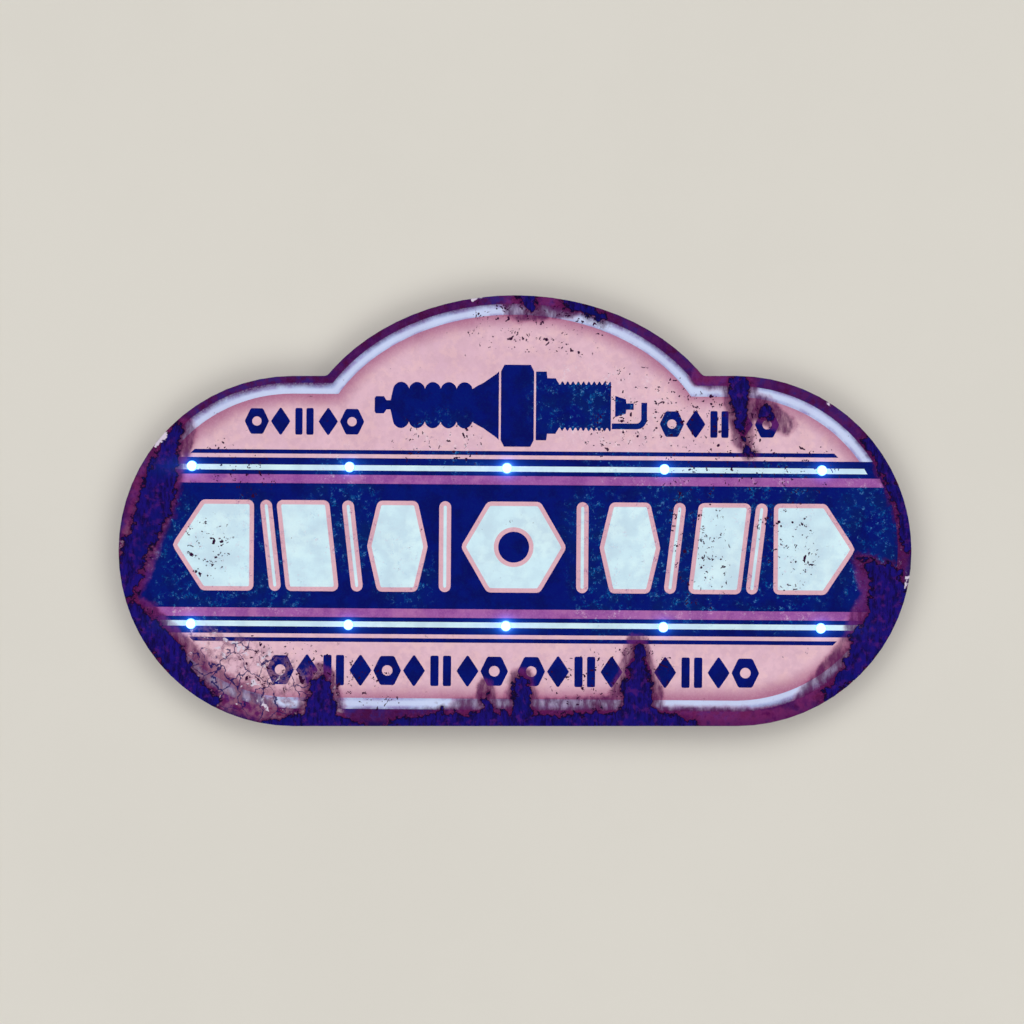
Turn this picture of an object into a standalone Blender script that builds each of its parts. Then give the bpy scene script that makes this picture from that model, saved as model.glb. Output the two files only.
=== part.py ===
"""A battery-lit metal wall sign: a printed steel face with a domed top, a strip-steel return behind its edge,
ten lamps in two rows, their wiring, a three-cell battery box with a sliding lid and a slide switch, and two
riveted keyhole hangers.

Metres, +Z up. X runs along the sign, the face looks along -Y and the wall is the plane Y = 0. The origin is on
that plane, at the centre of the sign's round-ended body.
"""

import math

import bmesh
import bpy
from mathutils import Matrix, Vector

MM = 0.001
SEAT_GAP = 0.3 * MM  # left between two pieces that touch
JOIN = 0.4 * MM  # how far a cutter or a joined shape runs past the face that it meets

# Face and return
BODY_LENGTH = 600 * MM
BODY_HEIGHT = 265 * MM
DOME_HALF_WIDTH = 168.5 * MM
DOME_HALF_HEIGHT = 131.5 * MM
DOME_RISE = 61 * MM
SHOULDER_FILLET = 5 * MM
FACE_SHEET = 0.8 * MM
RETURN_SHEET = 1.0 * MM
RETURN_INSET = 0.3 * MM
RETURN_FLANGE = 7 * MM
END_ARC_STEPS = 32
DOME_STEPS = 24

# Splices that join the three lengths of the return
SPLICE_WING = 7.5 * MM
SEAM_SPLICE_LENGTH = 30 * MM
SPLICE_EDGE_MARGIN = 3 * MM

# The print lies a little turned and shifted on the blank, and the lamp holes follow it
PRINT_TURN = math.radians(-0.43)
PRINT_SHIFT_X = -1.0 * MM
PRINT_SHIFT_Z = 2.9 * MM

# Lamps
LAMP_COUNT = 5
LAMP_ROW_HALF_SPACING = 59.7 * MM
LAMP_ROW_SHIFT = -5.5 * MM
LAMP_END_MARGIN = 47.5 * MM
LAMP_RADIUS = 4.0 * MM
LAMP_FLANGE_RADIUS = 4.6 * MM
LAMP_FLANGE_THICKNESS = 1.0 * MM
LAMP_BODY_LENGTH = 10.0 * MM
LAMP_CLEARANCE = 0.4 * MM
LEG_SIDE = 0.5 * MM
LEG_LENGTH = 6.0 * MM
LEG_SPACING = 2.54 * MM
ROUND_STEPS = 12

# Holders that hold the lamps behind the face
HOLDER_WALL = 1.2 * MM
HOLDER_FOOT = 1.5 * MM
HOLDER_FOOT_THICKNESS = 1.2 * MM
HOLDER_LENGTH = 5.0 * MM
HOLDER_SOCKET_DEPTH = 2.0 * MM

# Wiring
WIRE_RADIUS = 1.1 * MM
WIRE_SAG = 3.0 * MM
LEAD_RADIUS = 0.6 * MM
WIRE_POINTS = 9
FEEDER_COLUMN = 9.0 * MM  # from the middle lamp to the feeders' straight run
FEEDER_HEIGHT = 4.2 * MM  # above the back of the face, in that run
CLIP_LENGTH = 7 * MM
CLIP_WIDTH = 8 * MM
CLIP_WALL = 1.2 * MM

# Cells, contacts and the battery box
CELL_RADIUS = 7.15 * MM
CELL_LENGTH = 49.5 * MM
CELL_NUB_RADIUS = 2.6 * MM
CELL_NUB_LENGTH = 1.0 * MM
CELL_PITCH_GAP = 1.3 * MM
BAY_RIB = 0.7 * MM
BAY_RIB_HEIGHT = 5 * MM
CONTACT_THICKNESS = 0.4 * MM
CONTACT_SIDE = 11 * MM
CONTACT_ROOM = 5 * MM  # between each end of the box and the ribs
SPRING_LENGTH = 5.2 * MM
SPRING_TURNS = 4.5
SPRING_STEPS = 10
SPRING_WIDE_RADIUS = 4.6 * MM
SPRING_NARROW_RADIUS = 3.2 * MM
SPRING_WIRE_RADIUS = 0.35 * MM
BOX_CENTRE_X = 50 * MM
BOX_WALL = 1.6 * MM
BOX_SIDE_WALL = 2.4 * MM
BOX_DIVIDER = 1.2 * MM
BOX_EDGE_RADIUS = 1.0 * MM
PAD_THICKNESS = 1.0 * MM
PAD_MARGIN = 4 * MM
WALL_CLEARANCE = 2.9 * MM  # from the box's rim to the wall
SWITCH_BAY_LENGTH = 9.6 * MM
WIRE_HOLE_RADIUS = 1.7 * MM
WIRE_HOLE_HALF_SPACING = 12 * MM

# Sliding lid
LID_THICKNESS = 1.6 * MM
LID_GROOVE_DEPTH = 1.2 * MM
LID_LIP = 1.0 * MM
LID_CELL_CLEARANCE = 0.6 * MM
LID_RIBS = 4
LID_RIB_PITCH = 2.4 * MM
LID_RIB_WIDTH = 1.0 * MM
LID_RIB_HEIGHT = 0.6 * MM
LID_RIB_LENGTH = 20 * MM

# Slide switch, at rest in its upper, lit place
SWITCH_TRAVEL = 4 * MM
KNOB_LENGTH = 4.0 * MM
KNOB_WIDTH = 2.6 * MM
KNOB_STANDS_PROUD = 1.5 * MM
SWITCH_BODY_LENGTH = 12.4 * MM
SWITCH_BODY_WIDTH = 5.8 * MM
SWITCH_BODY_DEPTH = 5.0 * MM
SWITCH_POCKET_DEPTH = 1.8 * MM
SWITCH_PIN_LENGTH = 3.0 * MM
SWITCH_PIN_PITCH = 4.0 * MM
SWITCH_PIN_SIDE = 0.8 * MM
RESISTOR_RADIUS = 1.2 * MM
RESISTOR_LENGTH = 6.5 * MM
RESISTOR_LEAD_RADIUS = 0.3 * MM

# Hangers and their rivets
HANGER_SHEET = 1.2 * MM
HANGER_WIDTH = 17 * MM
HANGER_TONGUE = 34 * MM
HANGER_FOOT = 19 * MM
HANGER_SPLICE_CLEARANCE = 1.0 * MM
KEYHOLE_HEAD_RADIUS = 5.0 * MM
KEYHOLE_SLOT_RADIUS = 2.6 * MM
KEYHOLE_RISE = 9.5 * MM
KEYHOLE_DROP = 20 * MM
RIVET_SHANK_RADIUS = 1.6 * MM
RIVET_HEAD_RADIUS = 3.0 * MM
RIVET_HEAD_HEIGHT = 1.2 * MM
RIVET_SPACING = 9.5 * MM
RIVET_HOLE_CLEARANCE = 0.35 * MM

# Worked out from the sizes above
END_RADIUS = BODY_HEIGHT / 2
END_CENTRE = BODY_LENGTH / 2 - END_RADIUS
DOME_CENTRE_Z = END_RADIUS + DOME_RISE - DOME_HALF_HEIGHT

CELL_PITCH = 2 * CELL_RADIUS + CELL_PITCH_GAP
BAY_LENGTH = CELL_LENGTH + CELL_NUB_LENGTH + SPRING_LENGTH + 2 * CONTACT_THICKNESS + 4 * SEAT_GAP
BAY_WIDTH = 3 * CELL_PITCH
BOX_LENGTH = BOX_WALL + SWITCH_BAY_LENGTH + BOX_DIVIDER + BAY_LENGTH + BOX_WALL
BOX_WIDTH = BAY_WIDTH + 2 * BOX_SIDE_WALL

LID_GROOVE = LID_THICKNESS + 2 * SEAT_GAP
BOX_DEPTH = (
    BOX_WALL + SEAT_GAP + 2 * CELL_RADIUS + LID_CELL_CLEARANCE - SEAT_GAP + LID_GROOVE + LID_LIP
)
SIGN_DEPTH = FACE_SHEET + SEAT_GAP + PAD_THICKNESS + SEAT_GAP + BOX_DEPTH + WALL_CLEARANCE

FACE_FRONT = -SIGN_DEPTH
FACE_BACK = FACE_FRONT + FACE_SHEET
PAD_FRONT = FACE_BACK + SEAT_GAP
BOX_FRONT = PAD_FRONT + PAD_THICKNESS + SEAT_GAP
BOX_FLOOR = BOX_FRONT + BOX_WALL
BOX_RIM = BOX_FRONT + BOX_DEPTH
GROOVE_REAR = BOX_RIM - LID_LIP
GROOVE_FRONT = GROOVE_REAR - LID_GROOVE
CELL_AXIS_Y = BOX_FLOOR + SEAT_GAP + CELL_RADIUS
DECK_FRONT = BOX_RIM - BOX_WALL

BOX_LEFT = BOX_CENTRE_X - BOX_LENGTH / 2
BOX_RIGHT = BOX_CENTRE_X + BOX_LENGTH / 2
SWITCH_BAY_LEFT = BOX_LEFT + BOX_WALL
SWITCH_BAY_CENTRE = SWITCH_BAY_LEFT + SWITCH_BAY_LENGTH / 2
DIVIDER_LEFT = SWITCH_BAY_LEFT + SWITCH_BAY_LENGTH
BAY_LEFT = DIVIDER_LEFT + BOX_DIVIDER
BAY_RIGHT = BAY_LEFT + BAY_LENGTH

HOLDER_FRONT = FACE_BACK + SEAT_GAP
HOLDER_SEAT = HOLDER_FRONT + HOLDER_LENGTH
LAMP_FLANGE_FRONT = HOLDER_SEAT + SEAT_GAP
LAMP_BACK = LAMP_FLANGE_FRONT + LAMP_FLANGE_THICKNESS
LEG_TIP = LAMP_BACK + LEG_LENGTH
WIRE_Y = LEG_TIP - WIRE_RADIUS - SEAT_GAP
FEEDER_Y = FACE_BACK + FEEDER_HEIGHT

RETURN_FRONT = FACE_BACK + SEAT_GAP


# ---------------------------------------------------------------- scene and materials


def clear_scene():
    for obj in list(bpy.data.objects):
        bpy.data.objects.remove(obj, do_unlink=True)


def new_collection(name):
    made = bpy.data.collections.new(name)
    bpy.context.scene.collection.children.link(made)
    return made


def new_material(name, colour, roughness, metallic=0.0):
    made = bpy.data.materials.new(name)
    made.use_nodes = True
    shader = made.node_tree.nodes["Principled BSDF"]
    shader.inputs["Base Color"].default_value = (*colour, 1.0)
    shader.inputs["Roughness"].default_value = roughness
    shader.inputs["Metallic"].default_value = metallic
    return made


clear_scene()
SIGN = new_collection("lighted_sign")
CUTTERS = new_collection("cutters")

FACE_PAINT = new_material("printed_face", (0.03, 0.02, 0.18), 0.45)
RETURN_PAINT = new_material("return_paint", (0.09, 0.02, 0.11), 0.55)
ZINC = new_material("zinc_plate", (0.55, 0.56, 0.58), 0.35, 1.0)
STEEL = new_material("contact_steel", (0.70, 0.70, 0.72), 0.25, 1.0)
LENS = new_material("lamp_lens", (0.85, 0.95, 1.0), 0.08)
BLACK_PLASTIC = new_material("black_plastic", (0.02, 0.02, 0.022), 0.45)
WIRE_PVC = new_material("wire_pvc", (0.03, 0.03, 0.035), 0.4)
FOAM = new_material("foam_tape", (0.75, 0.75, 0.72), 0.9)
CELL_JACKET = new_material("cell_jacket", (0.05, 0.16, 0.10), 0.3)
KNOB_PLASTIC = new_material("knob_plastic", (0.01, 0.01, 0.01), 0.5)
RESISTOR_COAT = new_material("resistor_coat", (0.55, 0.42, 0.28), 0.5)


# ---------------------------------------------------------------- shapes


def place(obj, material):
    """Puts a finished piece in the sign's collection with its material."""
    SIGN.objects.link(obj)
    obj.data.materials.append(material)
    return obj


def mesh_object(name, bm):
    mesh = bpy.data.meshes.new(name)
    bm.to_mesh(mesh)
    bm.free()
    return bpy.data.objects.new(name, mesh)


def box(name, low, high):
    """A block between two corners, with its origin at its centre."""
    low, high = Vector(low), Vector(high)
    bm = bmesh.new()
    bmesh.ops.create_cube(bm, size=1.0)
    bmesh.ops.scale(bm, vec=high - low, verts=bm.verts)
    obj = mesh_object(name, bm)
    obj.location = (low + high) / 2
    return obj


def cylinder(name, radius, start, end, steps=ROUND_STEPS):
    """A rod from start to end."""
    start, end = Vector(start), Vector(end)
    bm = bmesh.new()
    bmesh.ops.create_cone(
        bm, cap_ends=True, segments=steps, radius1=radius, radius2=radius, depth=(end - start).length
    )
    obj = mesh_object(name, bm)
    obj.rotation_mode = "QUATERNION"
    obj.rotation_quaternion = (end - start).to_track_quat("Z", "Y")
    obj.location = (start + end) / 2
    return obj


def as_cutter(obj):
    CUTTERS.objects.link(obj)
    obj.hide_render = True
    obj.display_type = "WIRE"
    return obj


def boolean(target, other, operation):
    """Cuts, or joins, a shape that stays in the cutters' collection."""
    modifier = target.modifiers.new(operation.lower(), "BOOLEAN")
    modifier.operation = operation
    modifier.solver = "EXACT"
    modifier.object = as_cutter(other)
    return target


def cut(target, *others):
    for other in others:
        boolean(target, other, "DIFFERENCE")
    return target


def join(target, *others):
    for other in others:
        boolean(target, other, "UNION")
    return target


def bevel(obj, width, segments=2):
    modifier = obj.modifiers.new("edges", "BEVEL")
    modifier.width = width
    modifier.segments = segments
    modifier.limit_method = "ANGLE"
    return obj


def plate(name, outlines, thickness, front):
    """A flat plate parallel to the wall: closed (x, z) outlines, the first its edge and the others its holes."""
    curve = bpy.data.curves.new(name, "CURVE")
    curve.dimensions = "2D"
    curve.fill_mode = "BOTH"
    curve.extrude = thickness / 2
    for outline in outlines:
        spline = curve.splines.new("POLY")
        spline.points.add(len(outline) - 1)
        for point, (x, z) in zip(spline.points, outline):
            point.co = (x, z, 0, 1)
        spline.use_cyclic_u = True
    obj = bpy.data.objects.new(name, curve)
    obj.rotation_euler = (math.pi / 2, 0, 0)
    obj.location = (0, front + thickness / 2, 0)
    return obj


def turned(name, profile, centre, direction, steps=ROUND_STEPS):
    """A turned piece. The profile is (radius, distance along direction), from its far end down its outer side."""
    bm = bmesh.new()
    verts = [bm.verts.new((radius, 0, along)) for radius, along in profile]
    closed = profile[0][0] > 0
    for first, second in zip(verts, verts[1:] + verts[:1] if closed else verts[1:]):
        bm.edges.new((first, second))
    obj = mesh_object(name, bm)
    screw = obj.modifiers.new("turn", "SCREW")
    screw.steps = screw.render_steps = steps
    screw.use_merge_vertices = True
    screw.merge_threshold = 0.01 * MM
    obj.rotation_mode = "QUATERNION"
    obj.rotation_quaternion = Vector(direction).to_track_quat("Z", "Y")
    obj.location = centre
    return obj


def tube(name, points, radius, resolution=2):
    """A wire through the points, with closed ends."""
    curve = bpy.data.curves.new(name, "CURVE")
    curve.dimensions = "3D"
    curve.bevel_depth = radius
    curve.bevel_resolution = resolution
    curve.use_fill_caps = True
    spline = curve.splines.new("POLY")
    spline.points.add(len(points) - 1)
    for point, place_ in zip(spline.points, points):
        point.co = (*place_, 1)
    return bpy.data.objects.new(name, curve)


def meshed(obj):
    """The mesh of a curve object, with its caps welded, so that it can be cut or joined."""
    SIGN.objects.link(obj)
    bpy.context.view_layer.update()
    evaluated = obj.evaluated_get(bpy.context.evaluated_depsgraph_get())
    mesh = bpy.data.meshes.new_from_object(evaluated)
    world = obj.matrix_world.copy()
    name = obj.name
    bpy.data.objects.remove(obj, do_unlink=True)
    bm = bmesh.new()
    bm.from_mesh(mesh)
    bmesh.ops.remove_doubles(bm, verts=bm.verts, dist=0.001 * MM)
    bmesh.ops.recalc_face_normals(bm, faces=bm.faces)
    made = mesh_object(name, bm)
    made.matrix_world = world
    return made


def ribbon(name, path, profile, thickness):
    """Bent sheet: an open surface swept along path and given its thickness.

    path holds (point, inward normal) pairs in the XZ plane, and profile (inset, y) pairs from front to back.
    The surface is the sheet's outer side, and the thickness goes inwards.
    """
    bm = bmesh.new()
    rows = []
    for point, inward in path:
        row = [(point + inward * inset, y) for inset, y in profile]
        rows.append([bm.verts.new((at.x, y, at.y)) for at, y in row])
    for first, second in zip(rows, rows[1:]):
        for i in range(len(profile) - 1):
            bm.faces.new((first[i], second[i], second[i + 1], first[i + 1]))
    obj = mesh_object(name, bm)
    solidify = obj.modifiers.new("sheet", "SOLIDIFY")
    solidify.thickness = thickness
    solidify.offset = -1
    solidify.use_even_offset = True
    return obj


def smooth_route(anchors, steps=4):
    """Points on a Catmull-Rom curve through the anchors."""
    anchors = [Vector(a) for a in anchors]
    padded = [2 * anchors[0] - anchors[1], *anchors, 2 * anchors[-1] - anchors[-2]]
    points = []
    for before, start, end, after in zip(padded, padded[1:], padded[2:], padded[3:]):
        for i in range(steps):
            t = i / steps
            points.append(
                0.5
                * (
                    2 * start
                    + (end - before) * t
                    + (2 * before - 5 * start + 4 * end - after) * t**2
                    + (3 * start - before - 3 * end + after) * t**3
                )
            )
    return [*points, anchors[-1]]


# ---------------------------------------------------------------- the sign's outline


def body_top(x, inset=0.0):
    """Height of the round-ended body's upper edge at x."""
    past = abs(x) - END_CENTRE
    radius = END_RADIUS - inset
    return radius if past <= 0 else math.sqrt(max(radius**2 - past**2, 0.0))


def dome_at(angle, inset=0.0):
    """(point, inward normal) of the dome's ellipse, angle 0 towards +X and a quarter turn at its top."""
    point = Vector((DOME_HALF_WIDTH * math.cos(angle), DOME_HALF_HEIGHT * math.sin(angle)))
    outward = Vector((point.x / DOME_HALF_WIDTH**2, point.y / DOME_HALF_HEIGHT**2)).normalized()
    point.y += DOME_CENTRE_Z
    return point - outward * inset, -outward


def shoulder_angle(inset=0.0):
    """Where on the dome's ellipse it meets the body's upper edge, on the +X side."""
    low, high = 0.0, math.pi / 2
    for _ in range(60):
        middle = (low + high) / 2
        point, _normal = dome_at(middle, inset)
        if point.y > body_top(point.x, inset):
            high = middle
        else:
            low = middle
    return high


def dome_path(inset, angle_from, angle_to, steps):
    return [dome_at(angle_from + (angle_to - angle_from) * i / steps, inset) for i in range(steps + 1)]


def end_path(inset):
    """(point, inward normal) pairs round the -X half of the body, from bottom centre to the shoulder."""
    down, up = Vector((0, -1)), Vector((0, 1))
    corner_x = dome_at(shoulder_angle(inset), inset)[0].x
    path = [(Vector((0, -END_RADIUS + inset)), up)]
    for i in range(END_ARC_STEPS + 1):
        angle = -math.pi / 2 - math.pi * i / END_ARC_STEPS
        outward = Vector((math.cos(angle), math.sin(angle)))
        point = Vector((-END_CENTRE, 0)) + outward * (END_RADIUS - inset)
        if point.y < 0 or point.x < -corner_x - SEAT_GAP:
            path.append((point, -outward))
    path.append((Vector((-corner_x, body_top(corner_x, inset))), down))
    return path


def mirrored(path):
    """The same path on the other side of the sign, run the other way so that its sheet stays outside."""
    return [(Vector((-p.x, p.y)), Vector((-n.x, n.y))) for p, n in reversed(path)]


def filleted(before, corner, after, radius, steps=4):
    """Points of a round corner of that radius, in the order before, corner, after."""
    to_before, to_after = (before - corner).normalized(), (after - corner).normalized()
    half = to_before.angle(to_after) / 2
    centre = corner + (to_before + to_after).normalized() * radius / math.sin(half)
    start = (corner + to_before * radius / math.tan(half) - centre).normalized()
    end = (corner + to_after * radius / math.tan(half) - centre).normalized()
    return [centre + start.slerp(end, i / steps, start) * radius for i in range(steps + 1)]


def face_outline():
    """The face's edge from bottom centre round by +X, with its two shoulders rounded."""
    corner = shoulder_angle()
    point = dome_at(corner)[0]
    beside = Vector((point.x + SHOULDER_FILLET, body_top(point.x + SHOULDER_FILLET)))
    above = dome_at(corner + SHOULDER_FILLET / DOME_HALF_WIDTH)[0]
    fillet = filleted(beside, point, above, SHOULDER_FILLET)
    past_fillet = corner + 1.4 * SHOULDER_FILLET / DOME_HALF_WIDTH
    dome = [p for p, _normal in dome_path(0.0, past_fillet, math.pi - past_fillet, DOME_STEPS)]
    left = [p for p, _normal in end_path(0.0)[:-1]]
    right = [Vector((-p.x, p.y)) for p in left]
    left_fillet = [Vector((-p.x, p.y)) for p in reversed(fillet)]
    ring = [*right, *fillet, *dome, *left_fillet, *left[:0:-1]]
    return [(p.x, p.y) for p in ring]


def circle(centre, radius, steps):
    return [
        (
            centre[0] + radius * math.cos(2 * math.pi * i / steps),
            centre[1] + radius * math.sin(2 * math.pi * i / steps),
        )
        for i in range(steps)
    ]


def on_print(x, z):
    """Where a point of the artwork lies on the face."""
    turned_point = Matrix.Rotation(PRINT_TURN, 2) @ Vector((x, z))
    return turned_point + Vector((PRINT_SHIFT_X, PRINT_SHIFT_Z))


def lamp_rows():
    """{row name: lamp centres from -X to +X}. The outer lamps keep their margin from the body's round ends."""
    reach = END_CENTRE + math.sqrt(END_RADIUS**2 - LAMP_ROW_HALF_SPACING**2) - LAMP_END_MARGIN
    pitch = 2 * reach / (LAMP_COUNT - 1)
    along = [LAMP_ROW_SHIFT - reach + pitch * i for i in range(LAMP_COUNT)]
    return {
        "upper": [on_print(x, LAMP_ROW_HALF_SPACING) for x in along],
        "lower": [on_print(x, -LAMP_ROW_HALF_SPACING) for x in along],
    }


ROWS = lamp_rows()


# ---------------------------------------------------------------- face and return


def build_face():
    hole_radius = LAMP_RADIUS + LAMP_CLEARANCE
    holes = [circle(centre, hole_radius, ROUND_STEPS) for row in ROWS.values() for centre in row]
    place(plate("face_panel", [face_outline(), *holes], FACE_SHEET, FACE_FRONT), FACE_PAINT)


def build_return():
    """Three lengths of bent strip, each with a flange behind the face, meeting at the shoulders and below."""
    profile = [(RETURN_FLANGE, RETURN_FRONT), (0.0, RETURN_FRONT), (0.0, 0.0)]
    left = end_path(RETURN_INSET)
    left[0] = (left[0][0] - Vector((SEAT_GAP / 2, 0)), left[0][1])
    left[-1] = (left[-1][0] - Vector((SEAT_GAP, 0)), left[-1][1])
    corner = shoulder_angle(RETURN_INSET) + SEAT_GAP / DOME_HALF_HEIGHT
    dome = dome_path(RETURN_INSET, math.pi - corner, corner, DOME_STEPS)
    lengths = {"return_left": left, "return_dome": dome, "return_right": mirrored(left)}
    for name, path in lengths.items():
        obj = ribbon(name, path, profile, RETURN_SHEET)
        if name != "return_dome":
            side = -1 if name == "return_left" else 1
            cut(obj, *hanger_rivet_shanks(side, RIVET_SHANK_RADIUS + RIVET_HOLE_CLEARANCE, f"{name}_drill"))
        place(obj, RETURN_PAINT)


def build_splices():
    """Bent straps inside the return, over the joints between its three lengths."""
    inset = RETURN_INSET + RETURN_SHEET + SEAT_GAP
    profile = [(0.0, RETURN_FRONT + RETURN_SHEET + SPLICE_EDGE_MARGIN), (0.0, -SPLICE_EDGE_MARGIN)]
    corner = shoulder_angle(inset)
    corner_x = dome_at(corner, inset)[0].x
    wing_angle = SPLICE_WING / dome_at(corner)[0].length
    body_wing = [
        (Vector((-x, body_top(x, inset))), Vector((0, -1)))
        for x in (corner_x + SPLICE_WING, corner_x + SPLICE_WING / 2)
    ]
    dome_wing = dome_path(inset, math.pi - corner, math.pi - corner - wing_angle, 3)
    left = [*body_wing, *dome_wing]
    seam_z = -END_RADIUS + inset
    seam = [(Vector((x, seam_z)), Vector((0, 1))) for x in (SEAM_SPLICE_LENGTH / 2, -SEAM_SPLICE_LENGTH / 2)]
    for name, path in {
        "shoulder_splice_left": left,
        "shoulder_splice_right": mirrored(left),
        "seam_splice": seam,
    }.items():
        place(ribbon(name, path, profile, RETURN_SHEET), RETURN_PAINT)


# ---------------------------------------------------------------- hangers


def hanger_x():
    """Centre of a hanger, beside the shoulder splice."""
    inset = RETURN_INSET + RETURN_SHEET + SEAT_GAP
    splice_end = dome_at(shoulder_angle(inset), inset)[0].x + SPLICE_WING
    return splice_end + HANGER_SPLICE_CLEARANCE + HANGER_WIDTH / 2


def hanger_top():
    """Height of a hanger's foot, just under the lowest stretch of return above it."""
    outer_edge = hanger_x() + HANGER_WIDTH / 2
    return body_top(outer_edge, RETURN_INSET + RETURN_SHEET) - SEAT_GAP


def rivet_depths():
    """Y of the two rivets through a hanger's foot."""
    middle = -HANGER_SHEET - (HANGER_FOOT - HANGER_SHEET) / 2
    return (middle - RIVET_SPACING / 2, middle + RIVET_SPACING / 2)


def hanger_rivet_shanks(side, radius, name):
    """Rods along the two rivets of the hanger on that side."""
    x = side * hanger_x()
    low, high = hanger_top() - 4 * HANGER_SHEET, END_RADIUS + 4 * RETURN_SHEET
    return [
        cylinder(f"{name}_{i}", radius, (x, y, low), (x, y, high)) for i, y in enumerate(rivet_depths())
    ]


def keyhole(x, z):
    """Outline of a keyhole: the screw head's round hole below, and the slot that it rises into."""
    slot_top = z + KEYHOLE_RISE
    meet = math.asin(KEYHOLE_SLOT_RADIUS / KEYHOLE_HEAD_RADIUS)
    steps = 14
    head = [
        math.pi / 2 + meet + (2 * math.pi - 2 * meet) * i / steps for i in range(steps + 1)
    ]
    slot = [math.pi * i / 6 for i in range(7)]
    points = [(x + KEYHOLE_HEAD_RADIUS * math.cos(a), z + KEYHOLE_HEAD_RADIUS * math.sin(a)) for a in head]
    points += [
        (x + KEYHOLE_SLOT_RADIUS * math.cos(a), slot_top + KEYHOLE_SLOT_RADIUS * math.sin(a)) for a in slot
    ]
    return points


def build_hangers():
    """Angle brackets riveted under the return, each with a keyhole in the plane of the wall."""
    x, top = hanger_x(), hanger_top()
    half = HANGER_WIDTH / 2
    corner = half - 2 * SHOULDER_FILLET / 3
    for side, name in ((-1, "left"), (1, "right")):
        centre = side * x
        low = top - HANGER_TONGUE
        edge = [
            (centre - half, top),
            (centre - half, low + half - corner),
            (centre - corner, low),
            (centre + corner, low),
            (centre + half, low + half - corner),
            (centre + half, top),
        ]
        tongue = meshed(
            plate(f"hanger_{name}", [edge, keyhole(centre, top - KEYHOLE_DROP)], HANGER_SHEET, -HANGER_SHEET)
        )
        foot = box(
            f"hanger_{name}_foot",
            (centre - half, -HANGER_FOOT, top - HANGER_SHEET),
            (centre + half, -HANGER_SHEET / 2, top - 0.01 * MM),
        )
        join(tongue, foot)
        cut(tongue, *hanger_rivet_shanks(side, RIVET_SHANK_RADIUS + RIVET_HOLE_CLEARANCE, f"hanger_{name}_drill"))
        place(tongue, ZINC)


def build_rivets():
    """Rivets with a domed head outside the return and a formed head under the hanger's foot."""
    x, top = hanger_x(), hanger_top()
    inner = top - HANGER_SHEET - SEAT_GAP
    outer = body_top(x - RIVET_HEAD_RADIUS, RETURN_INSET) + SEAT_GAP
    head, shank, rise = RIVET_HEAD_RADIUS, RIVET_SHANK_RADIUS, RIVET_HEAD_HEIGHT
    profile = [
        (0.0, outer + rise),
        (0.55 * head, outer + 0.86 * rise),
        (0.9 * head, outer + 0.4 * rise),
        (head, outer),
        (shank, outer),
        (shank, inner),
        (0.85 * head, inner),
        (0.85 * head, inner - 0.8 * rise),
        (0.0, inner - 0.8 * rise),
    ]
    for side, name in ((-1, "left"), (1, "right")):
        for y, label in zip(rivet_depths(), ("front", "rear")):
            rivet = turned(f"hanger_rivet_{name}_{label}", profile, (side * x, y, 0), (0, 0, 1))
            place(rivet, ZINC)


# ---------------------------------------------------------------- lamps


def build_lamp(name, centre):
    """A clear lamp pushed through the face from behind: domed tip, flange and two legs."""
    dome_centre = LAMP_FLANGE_FRONT - LAMP_BODY_LENGTH + LAMP_RADIUS
    profile = [(0.0, -(dome_centre - LAMP_RADIUS))]
    profile += [
        (LAMP_RADIUS * math.sin(a), -(dome_centre - LAMP_RADIUS * math.cos(a)))
        for a in (math.radians(angle) for angle in (25, 50, 72, 90))
    ]
    profile += [
        (LAMP_RADIUS, -LAMP_FLANGE_FRONT),
        (LAMP_FLANGE_RADIUS, -LAMP_FLANGE_FRONT),
        (LAMP_FLANGE_RADIUS, -LAMP_BACK),
        (0.0, -LAMP_BACK),
    ]
    lamp = turned(name, profile, (centre.x, 0, centre.y), (0, -1, 0))
    for side, label in ((-1, "long"), (1, "short")):
        x = centre.x + side * LEG_SPACING / 2
        half = LEG_SIDE / 2
        leg = box(
            f"{name}_{label}_leg",
            (x - half, LAMP_BACK - JOIN, centre.y - half),
            (x + half, LEG_TIP, centre.y + half),
        )
        join(lamp, leg)
    return place(lamp, LENS)


def build_holder(name, centre):
    """A collar glued behind the face, with a socket at its rear for the lamp's flange."""
    bore = LAMP_RADIUS + LAMP_CLEARANCE
    socket = LAMP_FLANGE_RADIUS + LAMP_CLEARANCE
    outer = socket + HOLDER_WALL
    foot = outer + HOLDER_FOOT
    rear = HOLDER_SEAT + HOLDER_SOCKET_DEPTH
    profile = [
        (bore, -HOLDER_FRONT),
        (foot, -HOLDER_FRONT),
        (foot, -HOLDER_FRONT - HOLDER_FOOT_THICKNESS),
        (outer, -HOLDER_FRONT - HOLDER_FOOT_THICKNESS),
        (outer, -rear),
        (socket, -rear),
        (socket, -HOLDER_SEAT),
        (bore, -HOLDER_SEAT),
    ]
    return place(turned(name, profile, (centre.x, 0, centre.y), (0, -1, 0)), BLACK_PLASTIC)


def build_lamps():
    for row, centres in ROWS.items():
        for i, centre in enumerate(centres, 1):
            build_lamp(f"lamp_{row}_{i}", centre)
            build_holder(f"lamp_holder_{row}_{i}", centre)


# ---------------------------------------------------------------- wiring


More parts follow.
